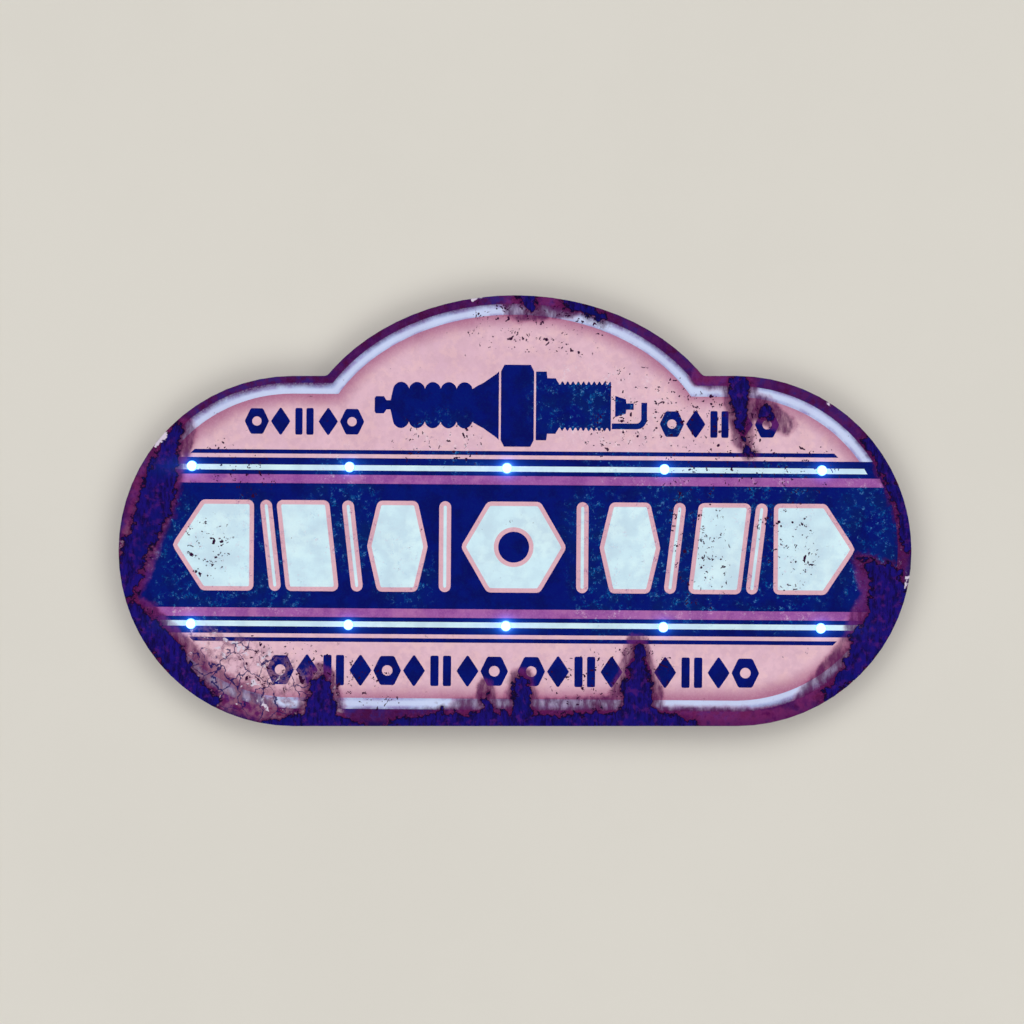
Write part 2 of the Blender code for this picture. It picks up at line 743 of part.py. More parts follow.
def build_row_wires():
    """Twin wires from lamp to lamp, each hanging a little between their legs."""
    clear = LEG_SPACING / 2 + LEG_SIDE / 2 + SEAT_GAP
    for row, centres in ROWS.items():
        for i, (left, right) in enumerate(zip(centres, centres[1:]), 1):
            start = Vector((left.x + clear, WIRE_Y, left.y))
            end = Vector((right.x - clear, WIRE_Y, right.y))
            points = []
            for k in range(WIRE_POINTS):
                t = k / (WIRE_POINTS - 1)
                point = start.lerp(end, t)
                point.z -= WIRE_SAG * 4 * t * (1 - t)
                points.append(point)
            place(tube(f"wire_{row}_{i}", points, WIRE_RADIUS, 1), WIRE_PVC)


def feeder_places(row):
    """The middle lamp of a row, the box's wire hole, and the middle of the feeder's straight run, as (x, z)."""
    sign = 1 if row == "upper" else -1
    lamp = ROWS[row][LAMP_COUNT // 2]
    hole = Vector((BOX_LEFT, PRINT_SHIFT_Z + sign * WIRE_HOLE_HALF_SPACING))
    return sign, lamp, hole, Vector((lamp.x + FEEDER_COLUMN, (lamp.y + hole.y) / 2))


def build_feeders():
    """Twin leads from the battery box to the middle lamp of each row, each under a glued clip."""
    for row in ROWS:
        sign, lamp, hole, run = feeder_places(row)
        half_run = sign * CLIP_LENGTH
        lamp_end = lamp.y - sign * (LEG_SIDE / 2 + SEAT_GAP)
        anchors = [
            (SWITCH_BAY_LEFT + SEAT_GAP, FEEDER_Y, hole.y),
            (BOX_LEFT - SEAT_GAP, FEEDER_Y, hole.y),
            (run.x + 2 * WIRE_RADIUS, FEEDER_Y, hole.y + sign * 3 * WIRE_RADIUS),
            (run.x, FEEDER_Y, run.y - half_run),
            (run.x, FEEDER_Y, run.y - half_run / 2),
            (run.x, FEEDER_Y, run.y + half_run / 2),
            (run.x, FEEDER_Y, run.y + half_run),
            (lamp.x + 2 * WIRE_RADIUS, (2 * WIRE_Y + FEEDER_Y) / 3, lamp_end - sign * 6 * WIRE_RADIUS),
            (lamp.x, WIRE_Y, lamp_end - sign * 2 * WIRE_RADIUS),
            (lamp.x, WIRE_Y, lamp_end),
        ]
        place(tube(f"feeder_{row}", smooth_route(anchors, 3), WIRE_RADIUS, 1), WIRE_PVC)
        build_clip(f"wire_clip_{row}", run)


def build_clip(name, run):
    """A saddle glued to the face's back, with the feeder through it."""
    bore = WIRE_RADIUS + SEAT_GAP
    half_length = CLIP_LENGTH / 2
    foot = box(
        name,
        (run.x - CLIP_WIDTH / 2, FACE_BACK + SEAT_GAP, run.y - half_length),
        (run.x + CLIP_WIDTH / 2, FACE_BACK + SEAT_GAP + CLIP_WALL, run.y + half_length),
    )
    saddle = box(
        f"{name}_saddle",
        (run.x - bore - CLIP_WALL, FACE_BACK + SEAT_GAP + CLIP_WALL / 2, run.y - half_length + MM / 2),
        (run.x + bore + CLIP_WALL, FEEDER_Y + bore + CLIP_WALL, run.y + half_length - MM / 2),
    )
    join(foot, saddle)
    reach = CLIP_LENGTH
    cut(
        foot,
        cylinder(f"{name}_bore", bore, (run.x, FEEDER_Y, run.y - reach), (run.x, FEEDER_Y, run.y + reach)),
    )
    place(foot, BLACK_PLASTIC)


# ---------------------------------------------------------------- battery box


def bay_z(index):
    """Height of a cell's axis, 0 the upper bay."""
    return PRINT_SHIFT_Z + (1 - index) * CELL_PITCH


def build_box():
    """The case: three cell bays open to the wall, lid grooves, and a decked bay for the switch."""
    middle = PRINT_SHIFT_Z
    outer = (BOX_LENGTH / 2, BOX_WIDTH / 2)
    inner = BAY_WIDTH / 2
    past = JOIN
    case = box(
        "battery_box",
        (BOX_CENTRE_X - outer[0], BOX_FRONT, middle - outer[1]),
        (BOX_CENTRE_X + outer[0], BOX_RIM, middle + outer[1]),
    )
    bevel(case, BOX_EDGE_RADIUS)
    rib_rear = BOX_FLOOR + BAY_RIB_HEIGHT
    cut(
        case,
        box(
            "bays_open", (BAY_LEFT, rib_rear, middle - inner), (BAY_RIGHT, BOX_RIM + past, middle + inner)
        ),
        box(
            "lid_way",
            (DIVIDER_LEFT, GROOVE_FRONT, middle - inner),
            (BOX_RIGHT + past, BOX_RIM + past, middle + inner),
        ),
        box(
            "lid_groove",
            (DIVIDER_LEFT, GROOVE_FRONT, middle - inner - LID_GROOVE_DEPTH),
            (BOX_RIGHT + past, GROOVE_REAR, middle + inner + LID_GROOVE_DEPTH),
        ),
        box(
            "switch_bay",
            (SWITCH_BAY_LEFT, BOX_FLOOR, middle - inner),
            (DIVIDER_LEFT, DECK_FRONT, middle + inner),
        ),
        box(
            "divider_notch",
            (DIVIDER_LEFT - past, BOX_FLOOR, middle - inner),
            (BAY_LEFT + past, BOX_FLOOR + 3 * LEAD_RADIUS, middle - inner + 3 * LEAD_RADIUS),
        ),
        box(
            "switch_slot",
            (SWITCH_BAY_CENTRE - KNOB_WIDTH / 2 - SEAT_GAP, DECK_FRONT - past, knob_low() - SEAT_GAP),
            (SWITCH_BAY_CENTRE + KNOB_WIDTH / 2 + SEAT_GAP, BOX_RIM + past, knob_high() + SEAT_GAP),
        ),
    )
    for name, low_x in (("left", BAY_LEFT), ("right", BAY_RIGHT - CONTACT_ROOM)):
        room = box(
            f"contact_room_{name}",
            (low_x, BOX_FLOOR, middle - inner),
            (low_x + CONTACT_ROOM, rib_rear + past, middle + inner),
        )
        cut(case, room)
    for index in range(3):
        half = (CELL_PITCH - BAY_RIB) / 2
        low = middle - inner if index == 2 else bay_z(index) - half
        high = middle + inner if index == 0 else bay_z(index) + half
        cut(case, box(f"bay_{index}", (BAY_LEFT, BOX_FLOOR, low), (BAY_RIGHT, rib_rear + past, high)))
    for row in ROWS:
        _sign, _lamp, hole, _run = feeder_places(row)
        reach = 2 * BOX_WALL
        cut(
            case,
            cylinder(
                f"wire_hole_{row}",
                WIRE_HOLE_RADIUS,
                (BOX_LEFT - reach, FEEDER_Y, hole.y),
                (BOX_LEFT + reach, FEEDER_Y, hole.y),
            ),
        )
    place(case, BLACK_PLASTIC)


def build_pad():
    half = (BOX_LENGTH / 2 - PAD_MARGIN, BOX_WIDTH / 2 - PAD_MARGIN)
    pad = box(
        "foam_tape_pad",
        (BOX_CENTRE_X - half[0], PAD_FRONT, PRINT_SHIFT_Z - half[1]),
        (BOX_CENTRE_X + half[0], PAD_FRONT + PAD_THICKNESS, PRINT_SHIFT_Z + half[1]),
    )
    place(pad, FOAM)


def build_lid():
    """The lid, in the box's grooves, with finger ribs at the end that it is pulled by."""
    half = BAY_WIDTH / 2 + LID_GROOVE_DEPTH - SEAT_GAP
    front = GROOVE_FRONT + SEAT_GAP
    rear = front + LID_THICKNESS
    lid = box(
        "battery_lid",
        (DIVIDER_LEFT + SEAT_GAP, front, PRINT_SHIFT_Z - half),
        (BOX_RIGHT, rear, PRINT_SHIFT_Z + half),
    )
    for i in range(LID_RIBS):
        x = BOX_RIGHT - 2 * LID_RIB_PITCH - LID_RIB_PITCH * i
        rib = box(
            f"lid_rib_{i}",
            (x - LID_RIB_WIDTH / 2, rear - JOIN, PRINT_SHIFT_Z - LID_RIB_LENGTH / 2),
            (x + LID_RIB_WIDTH / 2, rear + LID_RIB_HEIGHT, PRINT_SHIFT_Z + LID_RIB_LENGTH / 2),
        )
        join(lid, rib)
    place(lid, BLACK_PLASTIC)


def build_cells():
    """Three cells in series, the middle one turned round."""
    radius, nub = CELL_RADIUS, CELL_NUB_RADIUS
    profile = [
        (0.0, CELL_LENGTH + CELL_NUB_LENGTH),
        (nub, CELL_LENGTH + CELL_NUB_LENGTH),
        (nub, CELL_LENGTH),
        (radius - 0.5 * MM, CELL_LENGTH),
        (radius, CELL_LENGTH - 0.5 * MM),
        (radius, 0.5 * MM),
        (radius - 0.5 * MM, 0.0),
        (0.0, 0.0),
    ]
    for index, towards in enumerate((1, -1, 1)):
        spring_end = BAY_LEFT if towards > 0 else BAY_RIGHT
        stack = 2 * SEAT_GAP + CONTACT_THICKNESS + SPRING_LENGTH
        start = (spring_end + towards * stack, CELL_AXIS_Y, bay_z(index))
        cell = turned(f"cell_{index + 1}", profile, start, (towards, 0, 0), 16)
        place(cell, CELL_JACKET)


def contact_spring(name, index, end, towards):
    """A conical spring from inside its contact plate to a cell's flat end."""
    count = round(SPRING_TURNS * SPRING_STEPS)
    first = SEAT_GAP + CONTACT_THICKNESS / 2
    travel = CONTACT_THICKNESS / 2 + SPRING_LENGTH - SPRING_WIRE_RADIUS
    points = []
    for k in range(count + 1):
        t = k / count
        angle = 2 * math.pi * SPRING_TURNS * t
        radius = SPRING_WIDE_RADIUS + (SPRING_NARROW_RADIUS - SPRING_WIDE_RADIUS) * t
        points.append(
            (
                end + towards * (first + travel * t),
                CELL_AXIS_Y + radius * math.cos(angle),
                bay_z(index) + radius * math.sin(angle),
            )
        )
    return meshed(tube(name, points, SPRING_WIRE_RADIUS, 1))


def build_contacts():
    """Four contacts: a plate at each end of the chain and two bridges, three of them carrying a spring."""
    half = CONTACT_SIDE / 2
    chain = (
        ("contact_negative", BAY_LEFT, 1, 0, 0, 0),
        ("contact_bridge_right", BAY_RIGHT, -1, 0, 1, 1),
        ("contact_bridge_left", BAY_LEFT, 1, 1, 2, 2),
        ("contact_positive", BAY_RIGHT, -1, 2, 2, None),
    )
    for name, end, towards, first, last, sprung in chain:
        near = end + towards * SEAT_GAP
        far = near + towards * CONTACT_THICKNESS
        contact = box(
            name,
            (min(near, far), CELL_AXIS_Y - half, bay_z(last) - half),
            (max(near, far), CELL_AXIS_Y + half, bay_z(first) + half),
        )
        if sprung is not None:
            join(contact, contact_spring(f"{name}_spring", sprung, end, towards))
        place(contact, STEEL)


def build_positive_lead():
    """The lead from the positive contact, along the lowest bay's corner and through the divider."""
    radius = LEAD_RADIUS
    side = PRINT_SHIFT_Z - BAY_WIDTH / 2 + SEAT_GAP + radius
    floor = BOX_FLOOR + SEAT_GAP + radius
    last = BAY_RIGHT - SEAT_GAP - radius
    rise = CELL_AXIS_Y - CONTACT_SIDE / 2 + radius
    points = [
        (SWITCH_BAY_CENTRE, floor, side + 4 * radius),
        (DIVIDER_LEFT - radius, floor, side),
        (BAY_LEFT + BAY_LENGTH / 4, floor, side),
        (BAY_LEFT + 3 * BAY_LENGTH / 4, floor, side),
        (last - 3 * radius, floor, side),
        (last, (floor + rise) / 2, side),
        (last, rise, side),
        (last, rise, bay_z(2) - CONTACT_SIDE / 2 - SEAT_GAP),
    ]
    place(tube("positive_lead", points, radius, 1), WIRE_PVC)


# ---------------------------------------------------------------- switch


def knob_high():
    return PRINT_SHIFT_Z + (KNOB_LENGTH + SWITCH_TRAVEL) / 2


def knob_low():
    return PRINT_SHIFT_Z - (KNOB_LENGTH + SWITCH_TRAVEL) / 2


def build_switch():
    """The switch body under the deck, with three pins, and its knob through the deck's slot."""
    rear = DECK_FRONT - SEAT_GAP
    front = rear - SWITCH_BODY_DEPTH
    half_x, half_z = SWITCH_BODY_WIDTH / 2, SWITCH_BODY_LENGTH / 2
    body = box(
        "switch_body",
        (SWITCH_BAY_CENTRE - half_x, front, PRINT_SHIFT_Z - half_z),
        (SWITCH_BAY_CENTRE + half_x, rear, PRINT_SHIFT_Z + half_z),
    )
    pocket_front = rear - SWITCH_POCKET_DEPTH
    slot = KNOB_WIDTH / 2 + SEAT_GAP
    cut(
        body,
        box(
            "switch_pocket",
            (SWITCH_BAY_CENTRE - slot, pocket_front, knob_low() - SEAT_GAP),
            (SWITCH_BAY_CENTRE + slot, rear + JOIN, knob_high() + SEAT_GAP),
        ),
    )
    pin = SWITCH_PIN_SIDE / 2
    for i in (-1, 0, 1):
        z = PRINT_SHIFT_Z + i * SWITCH_PIN_PITCH
        join(
            body,
            box(
                f"switch_pin_{i + 2}",
                (SWITCH_BAY_CENTRE - pin / 2, front - SWITCH_PIN_LENGTH, z - pin),
                (SWITCH_BAY_CENTRE + pin / 2, front + JOIN, z + pin),
            ),
        )
    place(body, STEEL)
    knob = box(
        "switch_knob",
        (SWITCH_BAY_CENTRE - KNOB_WIDTH / 2, pocket_front + SEAT_GAP, knob_high() - KNOB_LENGTH),
        (SWITCH_BAY_CENTRE + KNOB_WIDTH / 2, BOX_RIM + KNOB_STANDS_PROUD, knob_high()),
    )
    for i in (-1, 0, 1):
        z = knob_high() - KNOB_LENGTH / 2 + i * KNOB_LENGTH / 4
        cut(
            knob,
            box(
                f"knob_groove_{i + 2}",
                (SWITCH_BAY_CENTRE - KNOB_WIDTH, BOX_RIM + KNOB_STANDS_PROUD - JOIN, z - KNOB_LENGTH / 16),
                (SWITCH_BAY_CENTRE + KNOB_WIDTH, BOX_RIM + KNOB_STANDS_PROUD + JOIN, z + KNOB_LENGTH / 16),
            ),
        )
    place(knob, KNOB_PLASTIC)


def build_resistor():
    """The current-limiting resistor under the switch, with one lead up to a switch pin."""
    pin_front = DECK_FRONT - SEAT_GAP - SWITCH_BODY_DEPTH - SWITCH_PIN_LENGTH
    y = BOX_FLOOR + SEAT_GAP + RESISTOR_RADIUS
    z_top = PRINT_SHIFT_Z - SWITCH_PIN_PITCH
    half = RESISTOR_LENGTH / 2
    z = z_top - half - 2 * RESISTOR_RADIUS
    x = SWITCH_BAY_CENTRE
    body = cylinder("resistor", RESISTOR_RADIUS, (x, y, z - half), (x, y, z + half))
    lead = meshed(
        tube(
            "resistor_lead",
            [
                (x, y, z - half - 2 * RESISTOR_RADIUS),
                (x, y, z_top - RESISTOR_RADIUS / 3),
                (x, y + RESISTOR_RADIUS / 3, z_top),
                (x, pin_front - SEAT_GAP, z_top),
            ],
            RESISTOR_LEAD_RADIUS,
            1,
        )
    )
    join(body, lead)
    place(body, RESISTOR_COAT)


# ---------------------------------------------------------------- assembly


def shade():
    """Round pieces look round, and edges sharper than 30 degrees stay sharp."""
    for obj in SIGN.objects:
        if obj.type == "MESH":
            obj.data.shade_smooth()
            obj.data.set_sharp_from_angle(angle=math.radians(30))


build_face()
build_return()
build_splices()
build_hangers()
build_rivets()
build_lamps()
build_row_wires()
build_feeders()
build_box()
build_pad()
build_lid()
build_cells()
build_contacts()
build_positive_lead()
build_switch()
build_resistor()
shade()
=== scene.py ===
"""The looks of a lighted wall sign: an aged print on sheet steel, two rows of small lamps, and its back."""

import math

import bpy
import numpy as np
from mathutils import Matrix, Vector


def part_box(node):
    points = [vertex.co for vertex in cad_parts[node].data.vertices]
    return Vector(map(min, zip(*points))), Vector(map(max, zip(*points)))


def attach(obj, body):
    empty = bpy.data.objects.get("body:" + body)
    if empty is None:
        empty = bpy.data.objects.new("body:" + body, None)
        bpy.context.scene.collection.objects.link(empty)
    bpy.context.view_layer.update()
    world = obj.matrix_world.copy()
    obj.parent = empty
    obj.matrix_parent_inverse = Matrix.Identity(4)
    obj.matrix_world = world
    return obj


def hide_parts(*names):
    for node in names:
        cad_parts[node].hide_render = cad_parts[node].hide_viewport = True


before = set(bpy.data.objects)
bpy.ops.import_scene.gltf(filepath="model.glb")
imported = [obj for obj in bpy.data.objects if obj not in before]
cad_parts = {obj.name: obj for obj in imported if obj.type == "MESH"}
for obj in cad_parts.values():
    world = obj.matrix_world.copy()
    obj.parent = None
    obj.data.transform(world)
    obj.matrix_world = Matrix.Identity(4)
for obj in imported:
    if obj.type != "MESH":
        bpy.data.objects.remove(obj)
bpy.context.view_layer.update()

MM = 0.001

# The blank, in millimetres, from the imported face.
FACE_LOW, FACE_HIGH = (np.array(corner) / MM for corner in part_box("face_panel"))
FACE_FRONT = FACE_LOW[1]
END_RADIUS = -FACE_LOW[2]
END_CENTRE = FACE_HIGH[0] - END_RADIUS
DOME_HALF_WIDTH = 168.5
DOME_HALF_HEIGHT = 131.5
DOME_CENTRE = FACE_HIGH[2] - DOME_HALF_HEIGHT

# The print, in millimetres. It sits a little turned and shifted on the blank.
PRINT_TURN = math.radians(-0.43)
PRINT_SHIFT = np.array([-1.0, 2.9])
EDGE_MARGIN = 0.15
BORDER = 9.3
BAND = 17.6
BAND_LAP = 1.2
FIELD_HALF = 66.5
ORCHID = (47.2, 53.8)
WHITE_LINE = (57.1, 61.2)
FINE_LINE = (69.5, 72.6)
FINE_LINE_HALF_LENGTH = 242.0
FINE_LINE_SLANT = 3.0
FIELD_LAP = 0.3
ORCHID_GAP = 1.5
LAYER = 0.05
SLAB_BACK = 0.02
GRID_STEP = 2.0
PANEL_COLUMNS, UPPER_PANEL_ROWS, LOWER_PANEL_ROWS = 226, 54, 26

# The large ornaments across the field.
ORNAMENT_HALF_HEIGHT = 34.4
ORNAMENT_CORNER = 4.5
ORNAMENT_OUTLINE = 3.3
NUT_HALF_WIDTH = 40.0
NUT_HOLE = 15.0
ARROW = (196.7, 236.0, 258.7)
LEAN = 8.0
THIN_BAR_WIDTH, THIN_BARS = 9.0, ((52.0, 0.0), (122.0, LEAN), (184.0, LEAN))
WIDE_BAR_WIDTH, WIDE_BAR = 40.0, 156.0
BLOCK_WIDTH, BLOCK_POINT, BLOCK = 46.0, 8.0, 88.0

# The lamps and the wires between them.
LAMP_COUNT = 5
LENS_RADIUS = 4.0
FLANGE_RADIUS = 4.6
FLANGE_FRONT, FLANGE_BACK = -18.6, -17.6
LEG_HALF_SIDE = 0.25
LEG_HALF_SPACING = 1.27
STRAND_RADIUS = 0.5
STRAND_OFFSET = 0.55
STRAND_TURNS = 9
WIRE_SAG = 3.0


def ink(red, green, blue):
    """A colour given as a paint maker's 0 to 255 values, made linear."""
    share = np.array([red, green, blue]) / 255
    linear = np.where(share > 0.04045, ((share + 0.055) / 1.055) ** 2.4, share / 12.92)
    return (*linear.tolist(), 1.0)


NAVY = ink(1, 13, 107)
DEEP_NAVY = ink(6, 10, 84)
INDIGO = ink(48, 32, 112)
PLUM = ink(62, 12, 82)
MAROON = ink(70, 6, 58)
WINE_EDGE = ink(142, 48, 104)
WINE_HEART = ink(82, 6, 74)
PINK = ink(224, 184, 198)
PINK_SHADE = ink(172, 108, 140)
PERIWINKLE = ink(160, 172, 216)
ORCHID_INK = ink(154, 86, 160)
OUTLINE_PINK = ink(222, 176, 188)
WHITE = ink(206, 234, 244)
TEAL = ink(0, 92, 158)
TAN = ink(146, 100, 120)
BLOT = ink(44, 4, 46)
FLAKE = ink(208, 196, 214)


# ---- Outlines ----


def dome_point(angle, inset):
    """The dome's ellipse at an angle from +X, moved in along its normal by inset."""
    x, z = DOME_HALF_WIDTH * np.cos(angle), DOME_HALF_HEIGHT * np.sin(angle)
    out_x, out_z = x / DOME_HALF_WIDTH**2, z / DOME_HALF_HEIGHT**2
    length = np.hypot(out_x, out_z)
    return np.stack([x - inset * out_x / length, DOME_CENTRE + z - inset * out_z / length], -1)


def shoulder_angle(inset):
    """Where the inset dome comes down to the body's inset top."""
    angles = np.linspace(0.2, 1.2, 800)
    return np.interp(END_RADIUS - inset, dome_point(angles, inset)[:, 1], angles)


def end_arc(inset, first, last, steps=48):
    """The inset right-hand end: a circle from one angle to another."""
    angles = np.linspace(first, last, steps)
    radius = END_RADIUS - inset
    return np.stack([END_CENTRE + radius * np.cos(angles), radius * np.sin(angles)], -1)


def straight(start, end, steps):
    """Points between two ends, leaving out both."""
    share = np.linspace(0, 1, steps + 2)[1:-1, None]
    return np.asarray(start) * (1 - share) + np.asarray(end) * share


def mirrored(path):
    """A path's mirror image in x, run backwards."""
    return path[::-1] * [-1, 1]


def upper_path(inset, level=0.0):
    """From the right at a level, over the end, shoulder, dome, shoulder and end, to the left."""
    arc = end_arc(inset, np.arcsin(level / (END_RADIUS - inset)), np.pi / 2)
    corner = shoulder_angle(inset)
    dome = dome_point(np.linspace(corner, np.pi / 2, 80), inset)
    half = np.concatenate([arc, straight(arc[-1], dome[0], 12), dome])
    return np.concatenate([half, mirrored(half)[1:]])


def lower_path(inset, level=0.0):
    """From the left at a level, under the body, to the right."""
    arc = end_arc(inset, -np.pi / 2, -np.arcsin(level / (END_RADIUS - inset)))
    return np.concatenate([mirrored(arc), straight(arc[0] * [-1, 1], arc[0], 166), arc])


def outline(inset):
    """The whole inset outline as one ring."""
    return np.concatenate([upper_path(inset)[:-1], lower_path(inset)[:-1]])


def edge_x(z, inset):
    """Half the body's length at a level, for an inset outline."""
    return END_CENTRE + np.sqrt((END_RADIUS - inset) ** 2 - z**2)


def top_z(x, inset):
    """The height of the inset outline's top over x."""
    path = upper_path(inset)[::-1]
    return np.interp(x, path[:, 0], path[:, 1])


def on_print(points):
    """Print coordinates turned and shifted onto the blank."""
    across, up = math.cos(PRINT_TURN), math.sin(PRINT_TURN)
    return points @ np.array([[across, up], [-up, across]]) + PRINT_SHIFT


def rounded(corners, inset, radius, steps=8):
    """A convex outline moved in by inset: its edges' crossings moved in by inset and radius, with arcs."""
    corners = np.asarray(corners, float)
    along = np.roll(corners, -1, 0) - corners
    after = np.stack([along[:, 1], -along[:, 0]], -1) / np.linalg.norm(along, axis=1, keepdims=True)
    before = np.roll(after, 1, 0)
    reach_before = (before * corners).sum(1) - inset - radius
    reach_after = (after * corners).sum(1) - inset - radius
    cross = before[:, 0] * after[:, 1] - before[:, 1] * after[:, 0]
    centre_x = (reach_before * after[:, 1] - reach_after * before[:, 1]) / cross
    centre_z = (reach_after * before[:, 0] - reach_before * after[:, 0]) / cross
    first = np.arctan2(before[:, 1], before[:, 0])
    sweep = (np.arctan2(after[:, 1], after[:, 0]) - first) % (2 * np.pi)
    angles = first[:, None] + sweep[:, None] * np.linspace(0, 1, steps)
    ring_x = centre_x[:, None] + radius * np.cos(angles)
    ring_z = centre_z[:, None] + radius * np.sin(angles)
    return np.stack([ring_x, ring_z], -1).reshape(-1, 2)


def reach(ring, levels):
    """Leftmost and rightmost x where each level line crosses the ring."""
    start, end = ring, np.roll(ring, -1, 0)
    rise = end[:, 1] - start[:, 1]
    share = (levels[:, None] - start[:, 1]) / np.where(np.abs(rise) < 1e-9, 1e-9, rise)
    hit = (share >= -1e-6) & (share <= 1 + 1e-6)
    x = start[:, 0] + np.clip(share, 0, 1) * (end[:, 0] - start[:, 0])
    return np.where(hit, x, np.inf).min(1), np.where(hit, x, -np.inf).max(1)


# ---- Meshes ----


def grid_faces(rows, columns, closed=False):
    """Quads between neighbouring rows and columns of a grid stored row by row."""
    row = np.arange(rows - 1)[:, None] * columns
    column = np.arange(columns if closed else columns - 1)[None, :]
    near = row + column
    far = row + (column + 1) % columns
    return np.stack([near, far, far + columns, near + columns], -1).reshape(-1, 4)


def slab(grid, layer, closed=False):
    """A thin closed plate: a grid of print points in front, the same grid behind, a wall round each edge."""
    rows, columns = grid.shape[:2]
    flat = grid.reshape(-1, 2)
    count = len(flat)
    front = np.full(count, FACE_FRONT - LAYER * (layer + 1))
    back = np.full(count, FACE_FRONT - SLAB_BACK)
    points = np.concatenate([np.stack([flat[:, 0], depth, flat[:, 1]], -1) for depth in (front, back)])
    faces = grid_faces(rows, columns, closed=closed)
    corner = flat[faces]
    area = (corner[:, 2] - corner[:, 0]) * (corner[:, 3] - corner[:, 1])[:, ::-1]
    index = np.arange(count).reshape(rows, columns)
    if closed:
        edges = [np.append(index[0], index[0, 0]), np.append(index[-1], index[-1, 0])[::-1]]
    else:
        edges = [np.concatenate([index[0], index[1:, -1], index[-1, -2::-1], index[-2::-1, 0]])]
    if (area[:, 0] - area[:, 1]).sum() < 0:
        faces = faces[:, ::-1]
        edges = [edge[::-1] for edge in edges]
    walls = [np.stack([e[1:], e[:-1], e[:-1] + count, e[1:] + count], -1) for e in edges]
    return points, np.concatenate([faces, faces[:, ::-1] + count, *walls]).tolist()


def between(first, last, rows):
    """A grid of rows carried evenly from one path to another."""
    share = np.linspace(0, 1, rows)[:, None, None]
    return first * (1 - share) + last * share


def plate_rows(ring, rows=29, columns=15):
    """A convex ring filled by level rows, closer together towards its top and bottom."""
    low, high = ring[:, 1].min() + 1e-4, ring[:, 1].max() - 1e-4
    levels = (low + high) / 2 + (high - low) / 2 * np.sin(np.linspace(-np.pi / 2, np.pi / 2, rows))
    left, right = reach(ring, levels)
    share = np.linspace(0, 1, columns)
    x = left[:, None] * (1 - share) + right[:, None] * share
    return np.stack([x, np.broadcast_to(levels[:, None], x.shape)], -1)


def nut_rows(ring, hole, centre, rows=10, columns=120):
    """The space between a ring and a round hole, as rows carried from the hole outwards."""
    share = np.linspace(0, 1, 12, endpoint=False)[:, None]
    offset = (ring[:, None] * (1 - share) + np.roll(ring, -1, 0)[:, None] * share).reshape(-1, 2) - centre
    angles = np.linspace(0, 2 * np.pi, columns, endpoint=False)
    far = np.interp(angles, np.arctan2(offset[:, 1], offset[:, 0]), np.hypot(*offset.T), period=2 * np.pi)
    ray = np.stack([np.cos(angles), np.sin(angles)], -1)
    return centre + between(ray * hole, ray * far[:, None], rows)


def piece(name, patches, material, smooth=False, stands_for=(), body="sign"):
    """One object of one or more patches in millimetres, each its points and faces, riding on its body."""
    starts = np.cumsum([0] + [len(points) for points, _faces in patches])
    points = np.concatenate([points for points, _faces in patches])
    faces = [
        [int(corner + start) for corner in face]
        for (_points, face_list), start in zip(patches, starts)
        for face in face_list
    ]
    mesh = bpy.data.meshes.new(name)
    mesh.from_pydata((points * MM).tolist(), [], faces)
    mesh.materials.append(material)
    mesh.polygons.foreach_set("use_smooth", np.full(len(faces), smooth))
    obj = bpy.data.objects.new(name, mesh)
    bpy.context.scene.collection.objects.link(obj)
    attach(obj, body)
    if stands_for:
        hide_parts(*stands_for)
    return obj, points


def attribute(obj, name, values):
    """Keeps one value for each point of a piece's mesh."""
    layer = obj.data.attributes.new(name, "FLOAT", "POINT")
    layer.data.foreach_set("value", np.asarray(values, np.float32))


# ---- Age: where the print is torn, stained, crazed, rubbed and specked, and where the lamps' light is painted on it ----


def end_path(side, *points):
    """A blemish round an end, left (-1) or right (1). Each point is an angle above the level in degrees, a
    distance from the edge and a half width."""
    angle, inset, half = np.array(points, float).T
    away = END_RADIUS - inset
    turn = np.radians(angle)
    return np.stack([side * (END_CENTRE + away * np.cos(turn)), away * np.sin(turn), half], -1)


def foot_path(*points):
    """A blemish along the lower edge. Each point is x, a height above the edge and a half width."""
    return np.array(points, float) - (0, END_RADIUS, 0)


def spike(x, height, root, lean=0, tip=1):
    """A blemish that rises from the lower edge and ends in a narrow tip."""
    return foot_path((x + lean, height, tip), (x, 0.4 * height, root), (x, 0, root + 2))


# Paths over the blank. A free one lists x, z and half width at its points, in millimetres.
TEARS = (
    end_path(-1, (46, 5, 4), (36, 13, 9), (26, 19, 12), (16, 22, 12), (6, 18, 10), (-5, 8, 9), (-13, 3, 7)),
    end_path(-1, (-19, 3, 4), (-28, 8, 8), (-38, 10, 10), (-50, 6, 8), (-62, 3, 5)),
    end_path(1, (-4, 40, 1), (-6, 32, 5), (-9, 18, 9), (-17, 12, 14), (-27, 9, 12), (-36, 11, 12),
             (-46, 6, 7), (-58, 3, 4)),
    end_path(1, (2, 2, 4), (14, 2, 5), (28, 3, 4), (40, 2, 3)),
    foot_path((-190, 1, 3), (-165, 2, 6), (-140, 2, 7), (-118, 0, 3)),
    foot_path((-92, 1, 4), (-60, 2, 6), (0, 2, 7), (64, 2, 7), (105, 3, 9), (135, 0, 4)),
    spike(-147, 33, 11, tip=5),
    spike(-57, 11, 4),
    spike(-22, 25, 4),
    spike(5, 33, 8, tip=4),
    spike(62, 15, 5),
    spike(92, 58, 11, lean=3, tip=2),
    ((170, 126, 7), (169, 112, 6), (171, 98, 3), (174, 84, 1), (178, 74, 2)),
    ((187, 107, 3), (190, 103, 4)),
    ((10, 192, 8), (12, 184, 3)),
    ((40, 188, 4), (68, 176, 3)),
)
